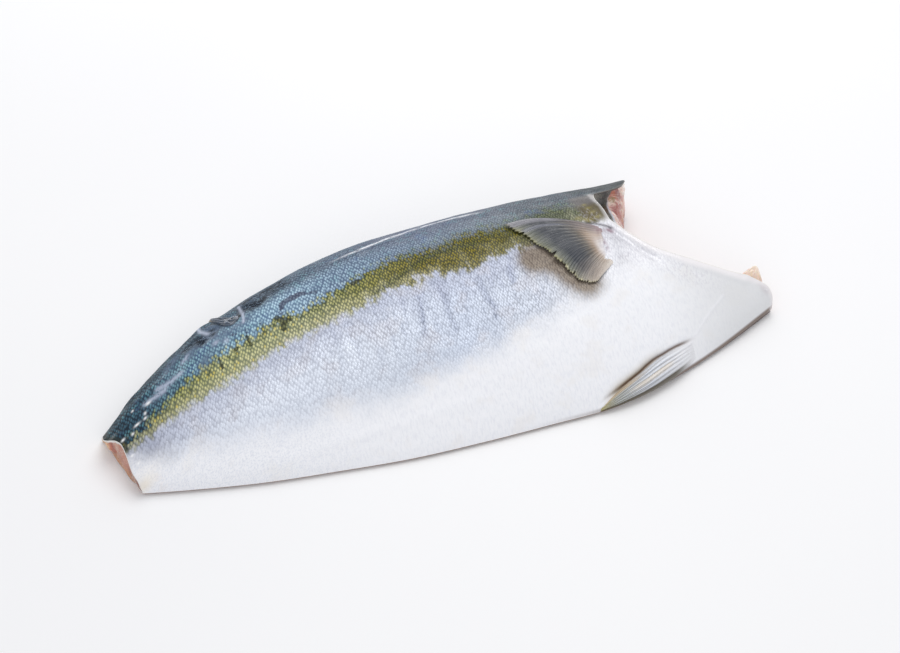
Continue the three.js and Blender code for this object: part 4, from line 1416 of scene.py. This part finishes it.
def pectoral_material():
    """Webs and rays of a fin: beige and pink at the root, slate, then olive and yellow at the margin."""
    material, tree, shader = new_material("pectoral_fin")
    place = fact(tree, "ray_place", vector=True)
    fan = group(fin_rays, Place=place, Count=PECTORAL_RAYS)
    across, along, streak = fan["Across"], fan["Along"], fan["Streak"]
    ragged = along + streak * 0.16 - 0.08
    web = ramp(
        ragged, (0.0, 200, 190, 186), (0.14, 184, 166, 154), (0.26, 152, 130, 110), (0.38, 86, 80, 72),
        (0.5, 40, 44, 52), (0.78, 36, 42, 52), (0.87, 74, 78, 74), (0.96, 104, 106, 88))
    bone = ramp(
        ragged, (0.0, 208, 200, 196), (0.14, 196, 180, 168), (0.28, 172, 150, 132), (0.42, 112, 106, 98),
        (0.6, 66, 70, 77), (0.8, 60, 65, 73), (0.91, 98, 101, 94), (0.97, 124, 124, 98))
    line = clipped(fan["Ray"] * 0.85 + (streak * 1.6 - 0.8))
    colour = mixed(line, web, bone)

    lead = step(across, 0.08, 0.05) * step(ragged, 0.35, 0.6)
    colour = over(colour, lead, 0.85, paint(126, 125, 134))
    # Painted shadow: a dark navy line along the leading edge near the root, under the skin's ridge.
    navy = step(across, 0.03, 0.015) * step(ragged, 0.5, 0.35)
    colour = over(colour, navy, 0.85, paint(70, 74, 96))
    second = step(across, 0.1, 0.11) * step(across, 0.142, 0.13) * step(ragged, 0.3, 0.55)
    colour = over(colour, second, 0.4, paint(128, 130, 146))
    trailing = across + streak * 0.2 - 0.1
    colour = over(colour, step(trailing, 0.5, 0.86), 0.85, paint(196, 181, 168))
    pale_root = step(along, 0.3, 0.1) * step(trailing, 0.26, 0.54)
    colour = over(colour, pale_root, 0.95, paint(232, 229, 232))
    front = step(trailing, 0.26, 0.1) * step(along, 0.5, 0.3)
    colour = over(colour, front, 0.7, mixed(line, paint(76, 74, 82), paint(112, 106, 112)))
    colour = over(colour, step(trailing, 0.74, 0.98), 0.85, paint(234, 227, 219))
    margin_colour = ramp(
        across, (0.0, 132, 130, 90), (0.4, 150, 146, 104), (0.48, 198, 192, 156), (0.8, 200, 194, 162),
        (0.92, 212, 204, 186))
    colour = over(colour, step(ragged, 0.95, 1.0), 0.85, margin_colour)
    pink = step(ragged, 0.2, 0.05) * step(across, 0.35, 0.1)
    colour = over(colour, pink, 0.6, paint(168, 132, 140))

    film = group(wet_film, Place=fact(tree, "place_mm", vector=True), Driest=0.5, Wettest=0.32)
    film["Coat"] *= 0.5
    wet_look(shader, colour, film, streak * 0.6 + fan["Ray"], 0.4, 0.3, Coat_Roughness=0.2)
    return material


fin_along, fin_across = even_grid(PECTORAL_STEPS)
fin_bent = fin_across + 0.006 * swell(fin_along * 4, fin_across * 9, 51)
fin_rays_up = rays(fin_bent, fin_along, PECTORAL_RAYS)
reach = 1 - 0.022 * (1 - fin_rays_up) - 0.012 * swell(0 * fin_across, fin_across * 31, 52)
for centre, half_width, depth in PECTORAL_TEARS:
    reach = reach - depth * np.clip(1 - np.abs(fin_across - centre) / half_width, 0, 1) ** 0.7
v = fin_along * reach[-1:, :]
fin_root = curved(PECTORAL_ROOT, fin_across)
fin_tip = curved(PECTORAL_TIP, fin_across)
fin_places = fin_root + (fin_tip - fin_root) * v[..., None]
fin_places[..., 1] += PECTORAL_BOW * (1 - fin_across) * 4 * v * (1 - v)
fin_places[..., 2] = fin_root[..., 2] + (fin_tip - fin_root)[..., 2] * (1 - (1 - v) ** 2)
fin_places[..., 2] += 0.5 * v * np.sin(2 * np.pi * (2.3 * fin_across + 0.3 * v))
fin_places[..., 2] += 0.25 * swell(v * 4, fin_across * 8, 53)
fin_half = 0.16 + 1.3 * smooth(0.5, 0, v) + 0.25 * smooth(0.06, 0.02, fin_across)
fin_rim = rounded_rim(fin_across, fin_along, 40)
fin_crown = fin_rim * fin_rays_up * (0.5 - 0.32 * v) * smooth(0.16, 0.42, v)
pectoral_points = sheet_skin(fin_places, fin_half * fin_rim, fin_crown)
pectoral_fin = make_piece("pectoral_fin", [pectoral_points], {
    "ray_place": [both_faces(fin_bent, v)], "place_mm": [pectoral_points],
}, [pectoral_material()])
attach(pectoral_fin, "root")
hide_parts("fillet")

# The pelvic fin. It is folded shut against the belly's edge: a few stiff rays pressed together,
# bluish white on their ridges and olive in the folds, that run out in two thin points.
PELVIC_UPPER = [
    (153, 0.938, -3.3), (138, 0.931, -1.9), (122, 0.931, -0.9), (104, 0.948, -0.3), (88, 0.967, 0.1),
    (71.9, 0.994, 0.2),
]
PELVIC_LOWER = [
    (152, 0.985, -3.3), (139, 0.994, -1.6), (123, 0.999, -0.6), (105, 1, -0.1), (87.5, 1, 0.1),
    (70.5, 1, 0.1),
]
PELVIC_RAYS = 6.5
PELVIC_STEPS = (110, 120)
PELVIC_LOWEST = 0.2


def pelvic_material():
    """Folded rays: white and blue-white ridges, brown and olive folds, yellow at the points."""
    material, tree, shader = new_material("pelvic_fin")
    place = fact(tree, "ray_place", vector=True)
    fan = group(fin_rays, Place=place, Count=PELVIC_RAYS)
    across, along, streak = fan["Across"], fan["Along"], fan["Streak"]
    ridge = ramp(
        along, (0.0, 228, 228, 231), (0.25, 230, 232, 236), (0.55, 222, 228, 238), (0.85, 212, 216, 220),
        (1.0, 190, 182, 126))
    fold = ramp(
        along, (0.0, 228, 228, 231), (0.2, 226, 226, 229), (0.42, 186, 186, 190), (0.6, 140, 140, 138),
        (0.75, 108, 106, 86), (0.88, 112, 106, 66), (1.0, 140, 128, 64))
    line = clipped(fan["Ray"] ** 0.6 + streak * 0.7 - 0.35)
    colour = mixed(line, fold, ridge)
    tan = step(across, 0.2, 0.05) * step(along, 0.5, 0.75)
    colour = over(colour, tan, 0.7, paint(196, 172, 138))
    cream = step(across, 0.3, 0.4) * step(across, 0.6, 0.48) * step(along, 0.3, 0.4) * step(along, 0.8, 0.6)
    colour = over(colour, cream, 0.55, paint(232, 218, 196))
    # Painted shadow: a dark olive-brown line along the fin's lower edge.
    under = step(across, 0.72, 0.86) * step(along, 0.1, 0.35)
    colour = over(colour, under, 0.9, paint(84, 74, 52))
    film = group(wet_film, Place=fact(tree, "place_mm", vector=True), Driest=0.42, Wettest=0.26)
    film["Coat"] *= 0.7
    wet_look(shader, colour, film, streak, 0.35, 0.3, Coat_Roughness=0.15)
    return material


fan_along, fan_across = even_grid(PELVIC_STEPS)
fan_bent = fan_across + 0.03 * swell(fan_along * 3, fan_across * 4, 61)
fan_rays = 1 - np.abs(2 * np.mod(fan_bent * PELVIC_RAYS + 0.5, 1) - 1) ** 1.4
fan_reach = 1 - 0.16 * np.clip(1 - np.abs(fan_across - 0.8) / 0.05, 0, 1)
fan_reach = fan_reach - 0.06 * (1 - smooth(0, 0.25, fan_across))
fan_v = fan_along * fan_reach
upper = curved(PELVIC_UPPER, fan_v)
lower = curved(PELVIC_LOWER, fan_v)
fan_places = upper + (lower - upper) * fan_across[..., None]
fan_rim = rounded_rim(fan_across, fan_along, 24)
fan_strong = smooth(0.02, 0.35, fan_v) * smooth(1.02, 0.8, fan_v)
fan_places[..., 2] += -0.5 + 1.0 * fan_strong * np.sin(np.pi * fan_across) ** 0.7
fan_crown = fan_rim * (0.6 + 0.8 * fan_rays * fan_strong)
fan_half = fan_rim * (0.35 + 2.0 * (1 - smooth(0.5, 0.95, fan_v)))
pelvic_points = sheet_skin(fan_places, fan_half, fan_crown)
pelvic_points[..., 2] = np.maximum(pelvic_points[..., 2], PELVIC_LOWEST)
pelvic_fin = make_piece("pelvic_fin", [pelvic_points], {
    "ray_place": [both_faces(fan_bent, fan_v)], "place_mm": [pelvic_points],
}, [pelvic_material()])
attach(pelvic_fin, "root")
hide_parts("fillet")

# The studio: a plain white floor, a large soft light over the fillet, a fainter one in front of it
# and a low one behind it, and a camera that looks at the middle of the fillet.
FLOOR_HALF = 6.0
FLOOR_DROP = 0.0005
SKY_STRENGTH = 0.62
floor_mesh = bpy.data.meshes.new("floor")
floor_mesh.from_pydata(
    [(-FLOOR_HALF, -FLOOR_HALF, 0), (FLOOR_HALF, -FLOOR_HALF, 0), (FLOOR_HALF, FLOOR_HALF, 0),
     (-FLOOR_HALF, FLOOR_HALF, 0)], [], [(0, 1, 2, 3)])
floor = bpy.data.objects.new("floor", floor_mesh)
bpy.context.scene.collection.objects.link(floor)
floor.location.z = -FLOOR_DROP
floor_paper, paper_tree, paper_shader = new_material("floor_paper")
paper_tint = noise(given(node(paper_tree, "TexCoord"))["Object"], 1.5, 2.0)
paper_colour = ramp(paper_tint, (0.3, 247, 247, 248), (0.7, 251, 251, 251))
wire(paper_shader, {"Base Color": paper_colour}, Roughness=0.7, Specular_IOR_Level=0.2)
floor_mesh.materials.append(floor_paper)

world = bpy.data.worlds.new("studio")
world.use_nodes = True
world.node_tree.nodes["Background"].inputs["Color"].default_value = paint(250, 251, 255)
world.node_tree.nodes["Background"].inputs["Strength"].default_value = SKY_STRENGTH
bpy.context.scene.world = world


def softbox(name, place, aim, size, power, colour):
    """A soft rectangular light, aimed at a place."""
    light = bpy.data.lights.new(name, "AREA")
    light.shape = "RECTANGLE"
    light.size, light.size_y = size
    light.energy = power
    light.color = colour[:3]
    lamp = bpy.data.objects.new(name, light)
    lamp.location = place
    lamp.rotation_euler = (Vector(aim) - Vector(place)).to_track_quat("-Z", "Y").to_euler()
    lamp.visible_camera = False
    bpy.context.scene.collection.objects.link(lamp)


softbox("top_light", (0.35, 0.45, 1.25), (0, 0, 0), (1.1, 1.1), 9.0, paint(255, 254, 252))
softbox("front_light", (-0.35, -1.1, 0.55), (0, 0, 0.02), (1.2, 0.7), 2.0, paint(252, 253, 255))
softbox("back_light", (0.0, 0.95, 0.1), (0, 0.05, 0.03), (1.5, 0.16), 2.0, paint(255, 255, 255))

# From the origin of the fish's places, which the camera looks at, to the camera, in millimetres.
FISH_VIEW = np.array([-238.4, -733.6, 919.3])
CAMERA_LENS = 70.0
SENSOR_WIDTH = 36.0
camera = bpy.data.objects.new("camera", bpy.data.cameras.new("camera"))
camera.location = Vector((FISH_VIEW + FISH_ORIGIN) * MM)
camera.rotation_euler = Vector(-FISH_VIEW).to_track_quat("-Z", "Y").to_euler()
camera.data.lens = CAMERA_LENS
camera.data.sensor_width = SENSOR_WIDTH
bpy.context.scene.collection.objects.link(camera)
bpy.context.scene.camera = camera
bpy.context.scene.view_settings.view_transform = "Standard"
